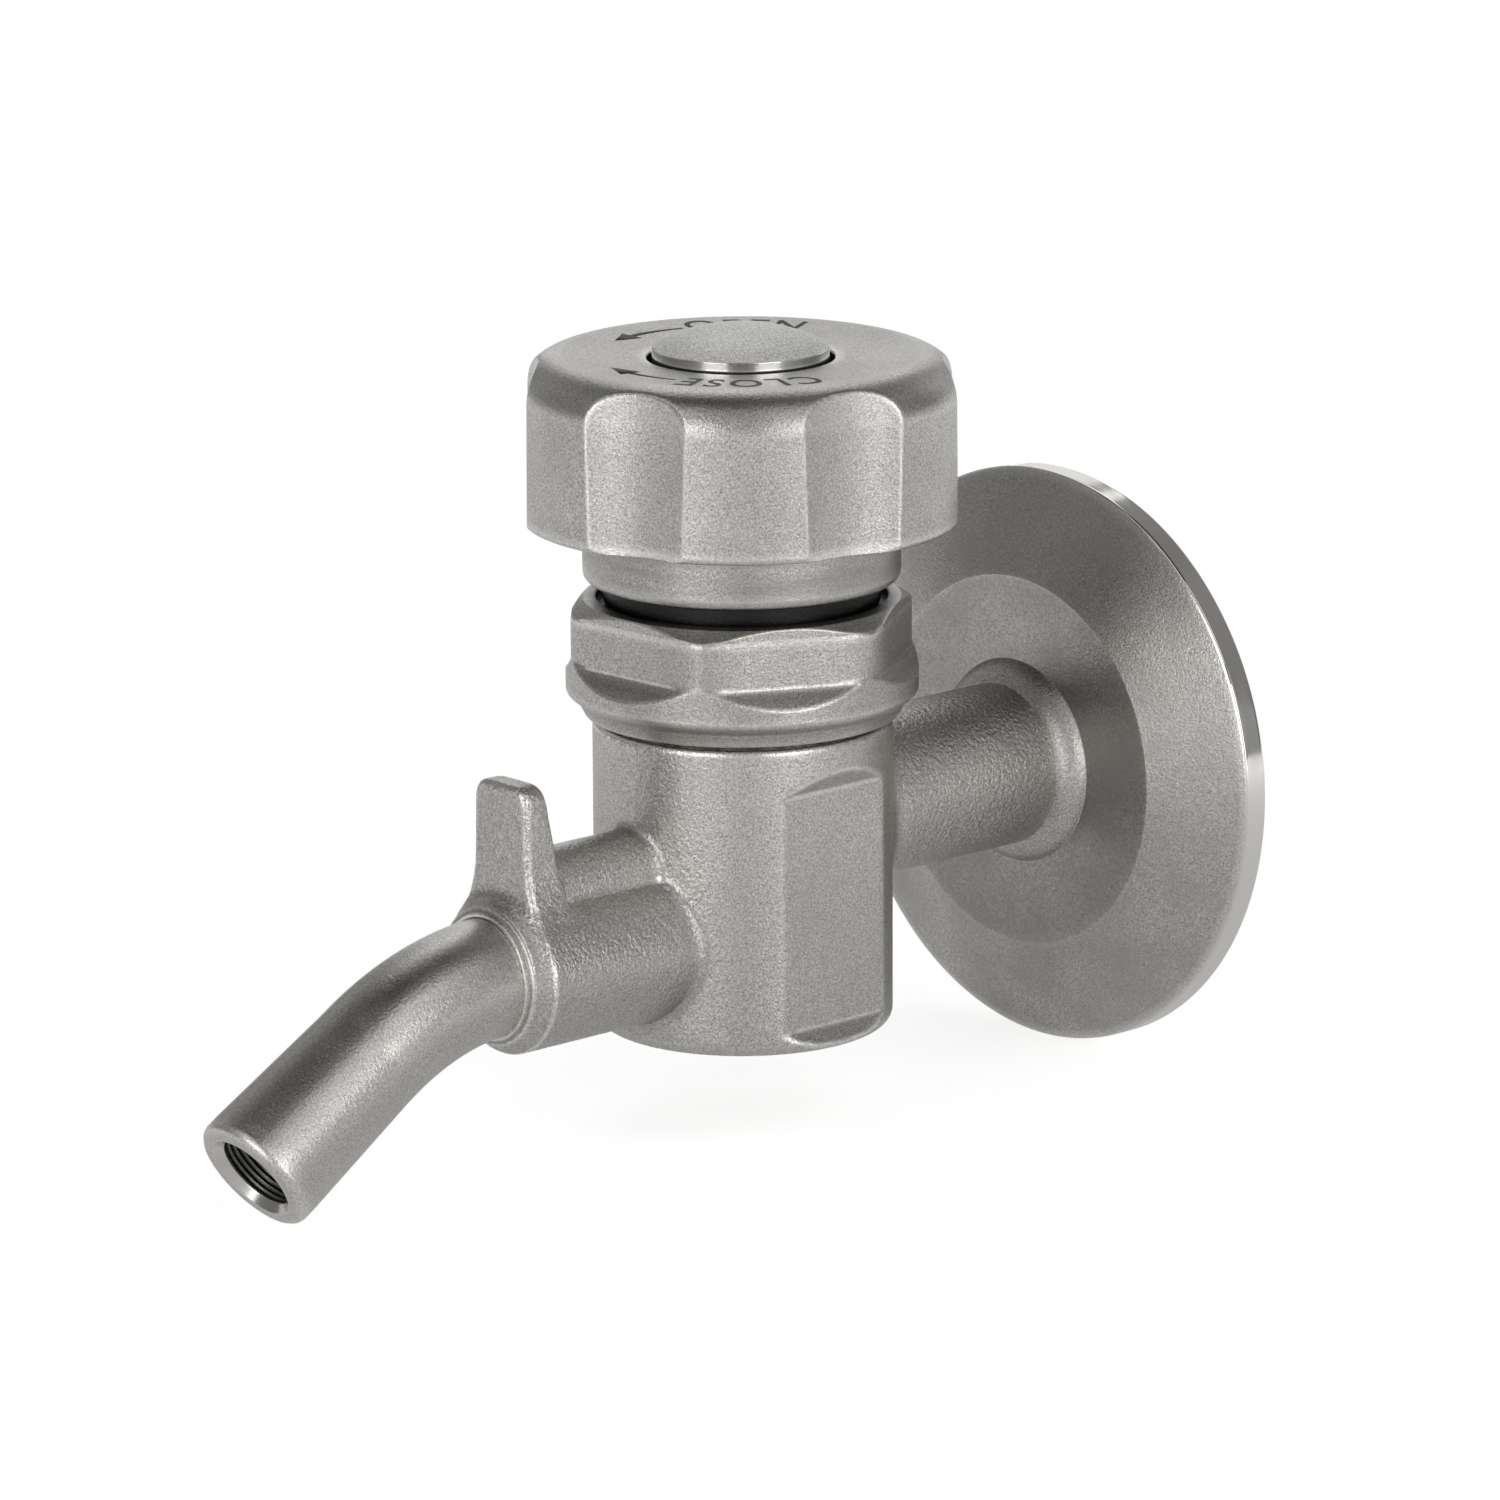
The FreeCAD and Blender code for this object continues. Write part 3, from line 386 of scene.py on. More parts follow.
# %% Surface net
def net(skin, low, high, step):
    """Points and faces where skin is zero in the box from low to high. A cube's point is
    the mean of the crossings on its edges, each found by a straight line between the two
    end values: t = a / (a - b)."""
    axes = [np.arange(low[i], high[i] + step, step) for i in range(3)]
    values = skin(*np.meshgrid(*axes, indexing="ij")).astype(np.float32)
    inside = values < 0
    parts = [slice(0, -1), slice(1, None)]
    corners = [(i, j, k) for i in (0, 1) for j in (0, 1) for k in (0, 1)]
    count = sum(inside[parts[i], parts[j], parts[k]].astype(np.int8) for i, j, k in corners)
    cells = np.argwhere((count > 0) & (count < 8))
    number = np.full(count.shape, -1, np.int64)
    number[tuple(cells.T)] = np.arange(len(cells))
    total, crossings = np.zeros((len(cells), 3)), np.zeros(len(cells))
    faces = []
    for axis in range(3):
        ahead = np.eye(3, dtype=int)[axis]
        sides = [a for a in range(3) if a != axis]
        for first, second in ((0, 0), (0, 1), (1, 0), (1, 1)):
            start = np.zeros(3, int)
            start[sides[0]], start[sides[1]] = first, second
            spot = cells + start
            a = values[tuple(spot.T)]
            b = values[tuple((spot + ahead).T)]
            hit = (a < 0) != (b < 0)
            share = np.where(hit, a / np.where(hit, a - b, 1), 0)
            total += np.where(hit[:, None], spot + share[:, None] * ahead, 0)
            crossings += hit
        head, tail = [slice(None)] * 3, [slice(None)] * 3
        head[axis], tail[axis] = slice(0, -1), slice(1, None)
        changes = np.argwhere(inside[tuple(head)] != inside[tuple(tail)])
        u, v = np.eye(3, dtype=int)[sides[0]], np.eye(3, dtype=int)[sides[1]]
        ring = [number[tuple((changes - shift).T)] for shift in (u + v, v, 0 * u, u)]
        ring = np.stack(ring, 1)
        goes_in = inside[tuple(changes.T)]
        flip = goes_in if axis != 1 else ~goes_in
        ring[flip] = ring[flip][:, ::-1]
        faces.append(ring)
    points = np.array(low) + total / crossings[:, None] * step
    return points, np.concatenate(faces)


ball, _ = net(lambda x, y, z: np.sqrt(x * x + y * y + z * z) - 1, (-1.3,) * 3, (1.3,) * 3, 0.2)
print("a net round a ball of radius 1 has", len(ball), "points")

# %% [markdown]
# ## Pulling the net tight
#
# A net's points lie near the skin but not on it, and the cubes show as faint steps. Each
# point is therefore pulled onto the exact skin along the slope of the function. The same
# slope, taken over a wider reach, tells how sharply the skin bends: that is how the
# finish finds outer edges and inner corners later.

# %% Slope and settling
SETTLE_REACH, SETTLE_MOST, SETTLE_ROUNDS = 0.02, 0.15, 4


def slope(skin, points, reach):
    """The gradient from central differences, and the Laplacian from the same six values:
    (sum of the six - 6 times the middle) / reach squared."""
    middle = skin(*points.T)
    gradient, laplacian = np.zeros_like(points), -6 * middle
    for axis in range(3):
        shift = np.zeros(3)
        shift[axis] = reach
        more, less = skin(*(points + shift).T), skin(*(points - shift).T)
        gradient[:, axis] = (more - less) / (2 * reach)
        laplacian = laplacian + more + less
    return middle, gradient, laplacian / reach ** 2


def settle(skin, points):
    """Moves each point by -value * gradient / |gradient|^2, at most SETTLE_MOST at once."""
    for _ in range(SETTLE_ROUNDS):
        value, gradient, _ = slope(skin, points, SETTLE_REACH)
        steepness = np.maximum((gradient ** 2).sum(1), 1e-6)
        step = -value[:, None] * gradient / steepness[:, None]
        size = np.linalg.norm(step, axis=1)[:, None]
        points = points + step * np.minimum(1, SETTLE_MOST / np.maximum(size, 1e-9))
    return points


def ripple(points, longest, shortest, waves, seed):
    """A gentle random relief: the mean of sine waves whose directions and phases are
    drawn once, with wavelengths between the two given in millimetres."""
    draw = np.random.default_rng(seed)
    total = np.zeros(len(points))
    for _ in range(waves):
        direction = draw.normal(size=3)
        direction *= 2 * np.pi / (np.linalg.norm(direction) * draw.uniform(shortest, longest))
        total += np.sin(points @ direction + draw.uniform(0, 2 * np.pi))
    return total / math.sqrt(waves)


print("each point settles in", SETTLE_ROUNDS, "rounds")

# %% [markdown]
# ## The body
#
# The skin of a casting isn't even: near the gate and on thin arms it has an orange peel,
# while the barrel was ground a little smoother. A number called peel stores how rough a
# place is, from its distance along the arms. It drives a small real relief here and a
# finer bump in the material later. Outer edges are marked bright, as wear and a painted
# highlight. Shallow inner corners get painted shade, and the tightest inner corners get a
# painted highlight, as if they caught the light. The net's box starts a little off the
# skin's own planes, so that no cube face lies in them, where it would fold.

# %% Valve body
NET_STEP = 0.31
NET_LOW, NET_HIGH = (-13.375, -28.87, -17.78), (13.2, 37.6, 16.2)
BEND_REACH, RELIEF = 0.22, 0.007

points, faces = net(body_skin, NET_LOW, NET_HIGH, NET_STEP)
points = settle(body_skin, points)
_, gradient, bending = slope(body_skin, points, BEND_REACH)
outward = gradient / np.linalg.norm(gradient, axis=1)[:, None]
x, y, z = points.T
on_arm = np.clip((np.abs(y) - 11.0) / 2.0, 0, 1)
near_stub = np.exp(-np.maximum(np.hypot(x, z + 4.0) - 6.0, 0) / 3.5)
near_stub = near_stub * np.clip((-y - 3.0) / 5.0, 0, 1)
peel = np.maximum(on_arm, 0.7 * near_stub)
peel = peel * np.clip((y + 27.6) / 0.6, 0, 1) * np.clip((34.5 - y) / 3.0, 0, 1)
points = points + outward * (RELIEF * peel * ripple(points, 2.4, 1.3, 40, 5))[:, None]
on_lug = (y < -20.0) & (z > -6.0)
# Edge value: wear and a painted highlight on outer edges, halved on the lug, painted shade in
# shallow inner corners, and a painted highlight in the tightest ones.
edge = np.clip((bending - 0.35) / 1.6, 0, 1) * np.where(on_lug, 0.5, 1.0)
edge = edge - 0.45 * np.clip((-bending - 0.25) / 0.8, 0, 1)
edge = edge + 1.3 * np.clip((-bending - 0.95) / 0.7, 0, 1)
valve_body = put_in_scene("cast_body", points + STEM, faces, edge=edge, peel=peel)
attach(valve_body, "valve")
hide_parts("valve_body")

# %% [markdown]
# ## The clamp ferrule and its weld
#
# The flange was turned on a lathe and then blasted on its back. Its front has the groove
# for the clamp gasket. Its rim is polished, because the clamp slides over it. A turned
# piece is a profile that goes round an axis, and small radii on every corner catch the
# light as real edges do. The weld fills the corner between neck and flange: its profile is
# the straight line between its two toes plus a swell of 4 u (1 - u), with u from 0 to 1.

# %% Flange and weld
FLANGE, RIM, DISC, FLANGE_BACK, NECK_HOLE = 25.25, -2.2, 16.25, -5.4, 7.07
GROOVE_FLOOR = -1.2
BEAD_TOE, BEAD_END, BEAD_SWELL = (7.04, -7.3), (8.95, -5.38), 0.3
BEAD_LEAN = np.array([0.707, -0.707])


def no_edges(radius, height, angle, edge):
    """A weld bead was brushed smooth, so it gets no bright edge marks, neither wear nor painted
    highlight.
    """
    return radius, 0.0 * edge


def shaded_disc(radius, height, angle, edge):
    """The flat disc between bevel and neck gets painted shade."""
    disc = np.clip((DISC + 0.05 - radius) / 0.3, 0, 1) * (height < -3.0)
    return radius, edge * (1 - disc) - 0.62 * disc


def polished_rim(radius, height):
    """The rim is polished up to its two edges."""
    return np.clip((radius - 25.0) / 0.12, 0, 1)


flange = revolve("clamp_flange", [
    (NECK_HOLE, 0.0, 0.1), (NECK_HOLE, FLANGE_BACK, 0.1), (DISC, FLANGE_BACK, 0.35),
    (FLANGE, RIM, 0.18), (FLANGE, 0.0, 0.25), (23.4, 0.0, 0.2), (22.6, GROOVE_FLOOR, 0.4),
    (21.0, GROOVE_FLOOR, 0.4), (20.2, 0.0, 0.2),
], steps=320, inlet=True, shape=shaded_disc, polish=polished_rim)
share = np.linspace(0, 1, 20)[:, None]
bead = BEAD_TOE + (np.array(BEAD_END) - BEAD_TOE) * share
bead = bead + BEAD_SWELL * 4 * share * (1 - share) * BEAD_LEAN
flange_weld = revolve("neck_weld", [
    (6.9, -5.2, 0.0), (6.9, -7.3, 0.0), *[(*spot, 0.0) for spot in bead],
    (9.1, -5.37, 0.0), (9.1, -5.2, 0.0),
], steps=240, inlet=True, shape=no_edges)

# %% [markdown]
# ## The union nut
#
# The nut is a turned blank with six milled flats. The mill ran down at forty-five degrees
# at the foot of each flat and left a ledge, and the cone on top meets the flats in
# a wave. Both come from one rule: the radius is the lesser of the blank's radius and the
# flat's distance, d / cos(a), and the smooth minimum leaves a worn round edge between.

# %% Union nut
NUT_TURN, NUT_FLAT, NUT_LEDGE = math.radians(-25.9), 13.35, 14.6
NUT, NUT_FOOT, NUT_MOUTH, NUT_SEAT, NUT_BORE = 14.8, 9.75, 12.2, 19.0, 11.02


def from_middle(angle, turn, count):
    """The angle from the middle of the nearest of count equal sides, the first of which
    is centred on turn."""
    side = 2 * np.pi / count
    return (angle - turn + side / 2) % side - side / 2


def six_flats(radius, height, angle, edge):
    """The blank's radius cut by d / cos(a), where d is larger below the ledge by how far
    below it the point is. The edge value rises where blank and flat meet, as wear and a
    painted highlight, but not at the six upright corners, which are wide and soft. A painted
    highlight runs along each ledge's brink with painted shade below it, the cone on top
    gets painted shade, and inside the mouth the metal is painted near black as shade."""
    distance = NUT_FLAT - joined(height - NUT_LEDGE, 0.0 * height, 0.14)
    flat = distance / np.cos(from_middle(angle, NUT_TURN, 6))
    upright = np.clip((radius - 14.3) / 0.4, 0, 1) * np.clip((height - NUT_LEDGE) / 0.4, 0, 1)
    meet = np.clip(1 - np.abs(radius - flat) / 0.2, 0, 1) * (radius > 12.6) * (1 - upright)
    brink = np.clip(1 - np.abs(height - NUT_LEDGE - 0.2) / 0.25, 0, 1) * (flat < radius)
    ledge = np.clip(1 - np.abs(height - NUT_LEDGE + 0.6) / 0.6, 0, 1) * (flat < radius)
    cone = 0.55 * np.clip((14.75 - radius) / 0.4, 0, 1)
    cone = cone + 0.9 * np.clip((13.7 - radius) / 1.1, 0, 1)
    shade = cone * (height > 18.0)
    mouth = np.clip((12.9 - radius) / 0.7, 0, 1) * (height > 17.9)
    # Painted light: highlights where blank and flat meet and along each brink, and painted shade
    # below the ledge, on the cone and, near black, in the mouth.
    edge = np.maximum(np.maximum(edge - shade, meet), 0.8 * brink) - 0.6 * ledge
    cut = np.where(radius > 12.6, joined(radius, flat, 0.16 + 0.8 * upright), radius)
    return cut, edge * (1 - mouth) - 2.0 * mouth


union_nut = revolve("hexagon_nut", [
    (NUT_BORE, NUT_FOOT, 0.2), (13.2, NUT_FOOT, 0.35), (13.8, 10.95, 0.5),
    (NUT, 11.75, 0.55, 0.15), (NUT, 18.7, 0.4, 0.1), (13.3, 19.7, 0.3),
    (NUT_MOUTH, 19.8, 0.15), (NUT_MOUTH, NUT_SEAT, 0.1), (8.3, NUT_SEAT, 0.1),
    (8.3, 17.8, 0.1), (NUT_BORE, 17.8, 0.1),
], steps=480, shape=six_flats)

# %% [markdown]
# ## The handwheel
#
# Six shallow flutes give the fingers a hold. Each is part of a large circle that bites
# into the rim, so the distance to it from the stem is c cos(a) - sqrt(R^2 - c^2 sin^2(a)),
# with c the distance of its centre and R its radius. The flutes lean in a little towards
# the top, as a cast part needs to leave its mould. The wheel's radius is again the
# smooth minimum of that and the turned profile, which makes the arch over each flute.

# %% Handwheel
WHEEL_TURN = math.radians(-40.9)
FLUTE_CENTRE, FLUTE_RADIUS, FLUTE_LEAN = 28.93, 12.0, 0.02
WHEEL_MIDDLE, DRIVE_HALF, HUB = 33.0, 3.55, 4.0
WHEEL, WHEEL_FOOT, WHEEL_TOP, SHOULDER = 18.42, 26.26, 40.35, 3.48
WELL, WELL_TOP, WELL_FLOOR, HUB_TOP = 7.81, 40.0, 37.0, 38.6
INNER = 15


def fluted(radius, height, angle, edge):
    """Cuts the rim with six flutes, and opens the hub to the square of the spindle: the
    distance to a square's side is half / max(|cos a|, |sin a|)."""
    lobe = from_middle(angle, WHEEL_TURN + math.pi / 6, 6)
    centre = FLUTE_CENTRE - FLUTE_LEAN * (height - WHEEL_MIDDLE)
    bite = FLUTE_RADIUS ** 2 - (centre * np.sin(lobe)) ** 2
    flute = centre * np.cos(lobe) - np.sqrt(np.maximum(bite, 0))
    flute = np.where(bite > 0, flute, 2 * centre)
    # Where rim and flute meet the edge value rises: wear and a painted highlight along the
    # flutes' edges.
    meet = np.clip(1 - np.abs(radius - flute) / 0.13, 0, 1) * (radius > INNER)
    turned = angle - WHEEL_TURN
    square = DRIVE_HALF / np.maximum(np.abs(np.cos(turned)), np.abs(np.sin(turned)))
    hub = np.where(radius < HUB + 0.15, square, radius)
    return np.where(radius > INNER, joined(radius, flute, 0.16), hub), np.maximum(edge, meet)


handwheel = revolve("wheel", [
    (HUB, 33.0, 0.1), (10.2, 33.0, 0.2), (10.2, WHEEL_FOOT, 0.15),
    (WHEEL, WHEEL_FOOT, 0.45, 0.6), (WHEEL, WHEEL_TOP, SHOULDER), (14.9, WHEEL_TOP, 0.0),
    (WELL, WELL_TOP, 0.22), (WELL, WELL_FLOOR, 0.15), (6.0, WELL_FLOOR, 0.1),
    (6.0, HUB_TOP, 0.1), (5.2, HUB_TOP, 0.1), (5.2, WELL_FLOOR, 0.1), (HUB, WELL_FLOOR, 0.1),
], steps=720, shape=fluted)

# %% [markdown]
# ## The collar
#
# The collar is a turned ring under the wheel. Below it a narrower skirt reaches into the
# nut's mouth, so that nothing shows between the two but a dark gap. The skirt is painted
# near black as shade, because hardly any light gets in there.

# %% Collar
COLLAR, COLLAR_FOOT, COLLAR_BORE, COLLAR_TOP = 13.32, 21.2, 8.4, 28.56
SKIRT, SKIRT_FOOT = 11.6, 19.3


def shaded_skirt(radius, height, angle, edge):
    """The skirt below the collar sits in the nut's mouth, where it is painted near black as
    shade.
    """
    under = np.clip((12.9 - radius) / 0.5, 0, 1) * (height < COLLAR_FOOT + 0.4)
    return radius, edge * (1 - under) - 2.0 * under


collar = revolve("collar", [
    (COLLAR_BORE, SKIRT_FOOT, 0.15), (SKIRT, SKIRT_FOOT, 0.2), (SKIRT, COLLAR_FOOT, 0.1, 0.3),
    (COLLAR, COLLAR_FOOT, 0.8), (COLLAR, WHEEL_FOOT, 0.12), (10.18, WHEEL_FOOT, 0.1),
    (10.18, COLLAR_TOP, 0.1), (COLLAR_BORE, COLLAR_TOP, 0.1),
], steps=256, shape=shaded_skirt)

# %% [markdown]
# ## The cap
#
# A shallow dome closes the wheel's middle. Its top is blasted, and a narrow rim round it
# is polished, so the rim alone shows sharp reflections. The dome is an arc whose radius
# comes from its chord and rise: (chord^2 + rise^2) / (2 rise).

# %% Cap
CAP, CAP_RIM, CAP_RISE, CAP_EDGE = 7.39, 40.88, 1.8, 0.12
CAP_FOOT, CAP_INSIDE, CAP_BRINK = 37.2, 6.39, 40.2
dome_chord = CAP - CAP_EDGE
dome_radius = (dome_chord ** 2 + CAP_RISE ** 2) / (2 * CAP_RISE)
dome_at = np.linspace(0, dome_chord * 0.93, 14)[::-1]
dome_high = CAP_RIM + CAP_RISE - dome_radius + np.sqrt(dome_radius ** 2 - dome_at ** 2)
dome = [(out, high, 0.5 if out else 0.0) for out, high in zip(dome_at, dome_high)]


def cap_shade(radius, height, angle, edge):
    """The cap's side is painted dark as shade where it goes down into the wheel."""
    return radius, np.where((radius > dome_chord) & (height < CAP_BRINK), -2.0, edge)


def polished_band(radius, height):
    """The band round the dome is polished from the well's brim up to the cap's rim."""
    above = (height > CAP_BRINK - 0.01) & (height < CAP_RIM + 0.01)
    return 1.0 * ((radius > dome_chord + 0.01) & above)


cap = revolve("cap", [
    (0.0, 41.4, 0.0), (3.5, 41.2, 0.5), (CAP_INSIDE, 40.2, 0.3), (CAP_INSIDE, CAP_FOOT, 0.1),
    (CAP, CAP_FOOT, 0.1), (CAP, CAP_BRINK, 0.02), (CAP, CAP_RIM - 0.08, 0.04),
    (dome_chord, CAP_RIM + 0.02, 0.05), *dome,
], steps=192, shape=cap_shade, polish=polished_band)

# %% [markdown]
# ## The spout
#
# The spout is a bent tube with a screw thread in its mouth, so that a hose barb or a plug
# can be put in. Its profile is carried along the path: first round the bend, then
# straight. In the mouth the radius also follows the turn of the thread, because a point
# on a screw moves on by one pitch in every turn.

# %% The spout's path and profile
BEND, BEND_ANGLE, STRAIGHT = 26.0, math.radians(32.3), 15.0
BASE_Y, BASE_Z = STEM_Y - STUB_END, -STUB_DROP
BEND_LENGTH = BEND * BEND_ANGLE
MOUTH = BEND_LENGTH + STRAIGHT
SPOUT, SPOUT_END, SPOUT_BORE, LIP = 5.02, 5.42, 2.6, 4.02
PITCH, THREAD_DEPTH, TAP, TAP_END, LEAD_IN = 0.5, 0.22, 3.42, 9.6, 0.72


def along_spout(profile_r, s, angle):
    """A point r from the path at length s: the path's place plus r cos(a) sideways and
    r sin(a) along its upper normal. In the bend the path is centre + R (-sin f, cos f),
    with f = s / R, and after it goes straight on."""
    f = np.clip(s / BEND, 0, BEND_ANGLE)
    rest = np.maximum(s - BEND_LENGTH, 0)
    y = BASE_Y - BEND * np.sin(f) - rest * np.cos(f)
    z = BASE_Z - BEND + BEND * np.cos(f) - rest * np.sin(f)
    lift = profile_r * np.sin(angle)
    return np.stack([profile_r * np.cos(angle), y - lift * np.sin(f), z + lift * np.cos(f)], -1)


spout_profile, spout_sharp = rounded_profile([
    (SPOUT_BORE, 0.1, 0.05), (SPOUT, 0.1, 0.05), (SPOUT, BEND_LENGTH + 1.0, 8.0),
    (SPOUT_END, BEND_LENGTH + 13.0, 3.0), (SPOUT_END, MOUTH, 0.75), (LIP, MOUTH, 0.05, 0.2),
    (TAP, MOUTH - LEAD_IN, 0.05, 0.07), (TAP, MOUTH - TAP_END, 0.1),
    (SPOUT_BORE, MOUTH - 10.0, 0.1),
])
print("the spout's path is", round(MOUTH, 2), "mm long")

# %% [markdown]
# ## Cutting the thread
#
# The grid of the spout gets its thread by a number between 0 and 1 at each point: how far
# the point is through the turn of the screw that it lies on. The thread fades out at both
# ends, as a tap leaves it. The mouth is painted dark inside as shade, darkest in the
# thread's grooves, and its lead-in is polished as bright as a freshly cut chamfer.

# %% Spout
steps = 160
angle = np.linspace(0, 2 * np.pi, steps, endpoint=False)[None, :]
r, s = (np.repeat(spout_profile[:, column:column + 1], steps, 1) for column in (0, 1))
turns = (s / PITCH - angle / (2 * np.pi)) % 1
groove = np.clip(0.5 + 1.1 * (0.5 - np.abs(2 * turns - 1)), 0, 1)
fade = np.clip((s - MOUTH + 9.5) / 0.6, 0, 1) * np.clip((MOUTH - LEAD_IN - s) / 0.5, 0, 1)
in_thread = (r > 3.3) & (r < 3.9) & (s > MOUTH - 9.55) & (s < MOUTH - LEAD_IN)
r = r + np.where(in_thread, THREAD_DEPTH * groove * fade, 0)
inside = (r < 3.9) & (s < MOUTH - LEAD_IN - 0.05)
chamfer = (r < 4.1) & (s >= MOUTH - LEAD_IN - 0.05)
face_ring = (s > MOUTH - 0.05) & (r > 4.1)
edge = np.repeat(spout_sharp[:, None], steps, 1)
edge = np.where(face_ring | chamfer, 0.2 * face_ring, edge)
# Inside the mouth the edge value paints shade, darker still in the grooves of the thread.
edge = np.where(inside, -1.4 - 0.6 * groove * fade, edge)
peel = 0.12 * (r > 4.9) * np.clip((MOUTH - 0.8 - s) / 1.0, 0, 1)
polish = 0.8 * chamfer + 0.3 * face_ring + 0.2 * (r > 4.9) * (s < MOUTH - 0.8)
spout = put_in_scene(
    "bent_spout", along_spout(r, s, angle).reshape(-1, 3),
    grid_faces(len(spout_profile), steps, True, True), edge=edge, peel=peel, polish=polish)
spout_weld = revolve("spout_bead", [
    (5.0, -65.0, 0.05), (5.0, -65.62, 0.05), (5.3, -65.62, 0.12), (5.5, -65.3, 0.12),
    (5.86, -65.22, 0.12), (5.86, -65.0, 0.05),
], steps=192, inlet=True, drop=STUB_DROP)

# %% [markdown]
# ## Words on the wheel
#
# The top of the wheel shows which way to turn it. The words and arrows are etched dark
# into the steel. Words are made with Blender's own text, turned into a mesh, and bent
# round the stem: how far along the line a point is becomes an angle. The letters' tops
# point outwards, so the words read from the rim. The wheel's top is a shallow dish, so
# the marks rise with the radius.

# %% Words
MARK_THICK, MARK_RADIUS = 0.02, 12.6
DISH_OUT, DISH_RISE = 14.92, 0.35
LETTER_SPACE, LETTER_WEIGHT = 1.2, 0.014


def place_round(flat, radius, turn, clockwise):
    """Bends flat points (x, y, z) round the stem: x / radius is the angle from turn, y
    adds to the radius, and z counts from the dish, whose height rises evenly from the
    cap's well to the shoulder. Words run clockwise as seen from above when their tops
    point out."""
    angle = turn - flat[:, 0] / radius if clockwise else turn + flat[:, 0] / radius
    out = radius + flat[:, 1]
    level = WELL_TOP + DISH_RISE * (out - WELL) / (DISH_OUT - WELL)
    return np.stack([out * np.cos(angle), out * np.sin(angle) + STEM_Y, flat[:, 2] + level], -1)


def word(text, turn, wide, high):
    """A word as thin raised marks, centred on turn and drawn out to a width along its
    arc and to the height of its letters."""
    curve = bpy.data.curves.new(text.lower(), "FONT")
    curve.body = text
    curve.space_character = LETTER_SPACE
    curve.extrude = MARK_THICK / 2
    curve.offset = LETTER_WEIGHT
    curve.resolution_u = 4
    holder = bpy.data.objects.new(text.lower(), curve)
    bpy.context.scene.collection.objects.link(holder)
    mesh = bpy.data.meshes.new_from_object(holder)
    bpy.data.objects.remove(holder)
    flat = np.zeros(len(mesh.vertices) * 3, np.float32)
    mesh.vertices.foreach_get("co", flat)
    flat = flat.reshape(-1, 3).astype(float)
    least, most = flat.min(0)[:2], flat.max(0)[:2]
    flat[:, :2] = (flat[:, :2] - (least + most) / 2) / (most - least) * (wide, high)
    bent = place_round(flat, MARK_RADIUS, math.radians(turn), True)
    mesh.vertices.foreach_set("co", (bent * MM).astype(np.float32).ravel())
    mesh.update()
    made = bpy.data.objects.new("word_" + text.lower(), mesh)
    bpy.context.scene.collection.objects.link(made)
    print(f"{made.name}: {len(mesh.vertices)} points, {high} mm high")
    return made


marks = [word("CLOSE", -38.2, 11.6, 3.9), word("OPEN", 137.0, 10.1, 2.9)]

# %% [markdown]
# ## Arrows on the wheel
#
# Beside each word a curved arrow shows the way to turn. It could be drawn as a curve with
# a bevel, but a grid of four rows is simpler: a wedge along an arc with a head at its
# end, bent round the stem in the same way as the words.

# %% Arrows
ARROW_TAIL, ARROW_NECK, ARROW_HEAD, ARROW_TIP, SHAFT_POINTS = 0.15, 0.34, 1.1, 0.02, 16


def arrow(name, radius, turn, length, head, clockwise):
    """A curved arrow: its half width grows along the arc to the head, where it jumps to
    ARROW_HEAD and then falls to a point. The grid has a top and a bottom row on each
    edge, and two faces close its ends."""
    shaft = np.linspace(0, length - head, SHAFT_POINTS)
    along = np.concatenate([shaft, [length - head + 0.01, length]])
    half = np.concatenate([
        np.linspace(ARROW_TAIL, ARROW_NECK, SHAFT_POINTS), [ARROW_HEAD, ARROW_TIP]])
    flat = np.stack([
        np.stack([along, side * half, np.full(len(along), level * MARK_THICK / 2)], -1)
        for side, level in ((-1, -1), (1, -1), (1, 1), (-1, 1))
    ])
    points = place_round(flat.reshape(-1, 3), radius, math.radians(turn), clockwise)
    faces = grid_faces(4, len(along), True, False)
    numbers = np.arange(4 * len(along)).reshape(4, -1)
    caps = np.stack([numbers[::-1, 0], numbers[:, -1]])
    return put_in_scene(name, points, np.concatenate([faces, caps]))


marks += [
    arrow("arrow_close", 12.1, -68.0, 7.5, 2.9, True),
    arrow("arrow_open", 11.9, 162.5, 7.8, 2.5, False),
]

# %% [markdown]
# ## Which piece moves with what
#
# Each new piece rides on the body of the node that it stands for, so it follows the
# joints. The wheel, its collar, cap and words turn with the wheel and rise with the stem.

# %% Riding and replacing
for piece, body, node, slot in (
    (flange, "valve", "clamp_ferrule", "flange_steel"),
    (flange_weld, "valve", "ferrule_weld", "cast_steel"),
    (union_nut, "valve", "union_nut", "cast_steel"),
    (spout, "valve", "spout_tube", "cast_steel"),
    (spout_weld, "valve", "spout_weld", "cast_steel"),
    (handwheel, "wheel", "handwheel", "wheel_steel"),
    (collar, "wheel", "skirt_collar", "collar_steel"),
    (cap, "wheel", "dome_cap", "polished_steel"),
):
    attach(piece, body)
    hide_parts(node)
for mark in marks:
    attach(mark, "wheel")
print("marks:", [mark.name for mark in marks])

# %% [markdown]
# ## Materials from nodes
#
# A finish is a small network of nodes: noises make a pattern, sums and mixes turn it into
# a colour, a roughness and a bump. Each helper below adds one node, sets it and returns
# its output, so that a finish can be read from top to bottom like a recipe.

# %% Node helpers
def new_material(name):
    """A material with only its output and a Principled shader, and the piece's own
    coordinates."""
    made = bpy.data.materials.new(name)
    made.use_nodes = True
    tree = made.node_tree
    place_node = tree.nodes.new("ShaderNodeTexCoord")
    return made, tree, tree.nodes["Principled BSDF"], place_node.outputs["Object"]


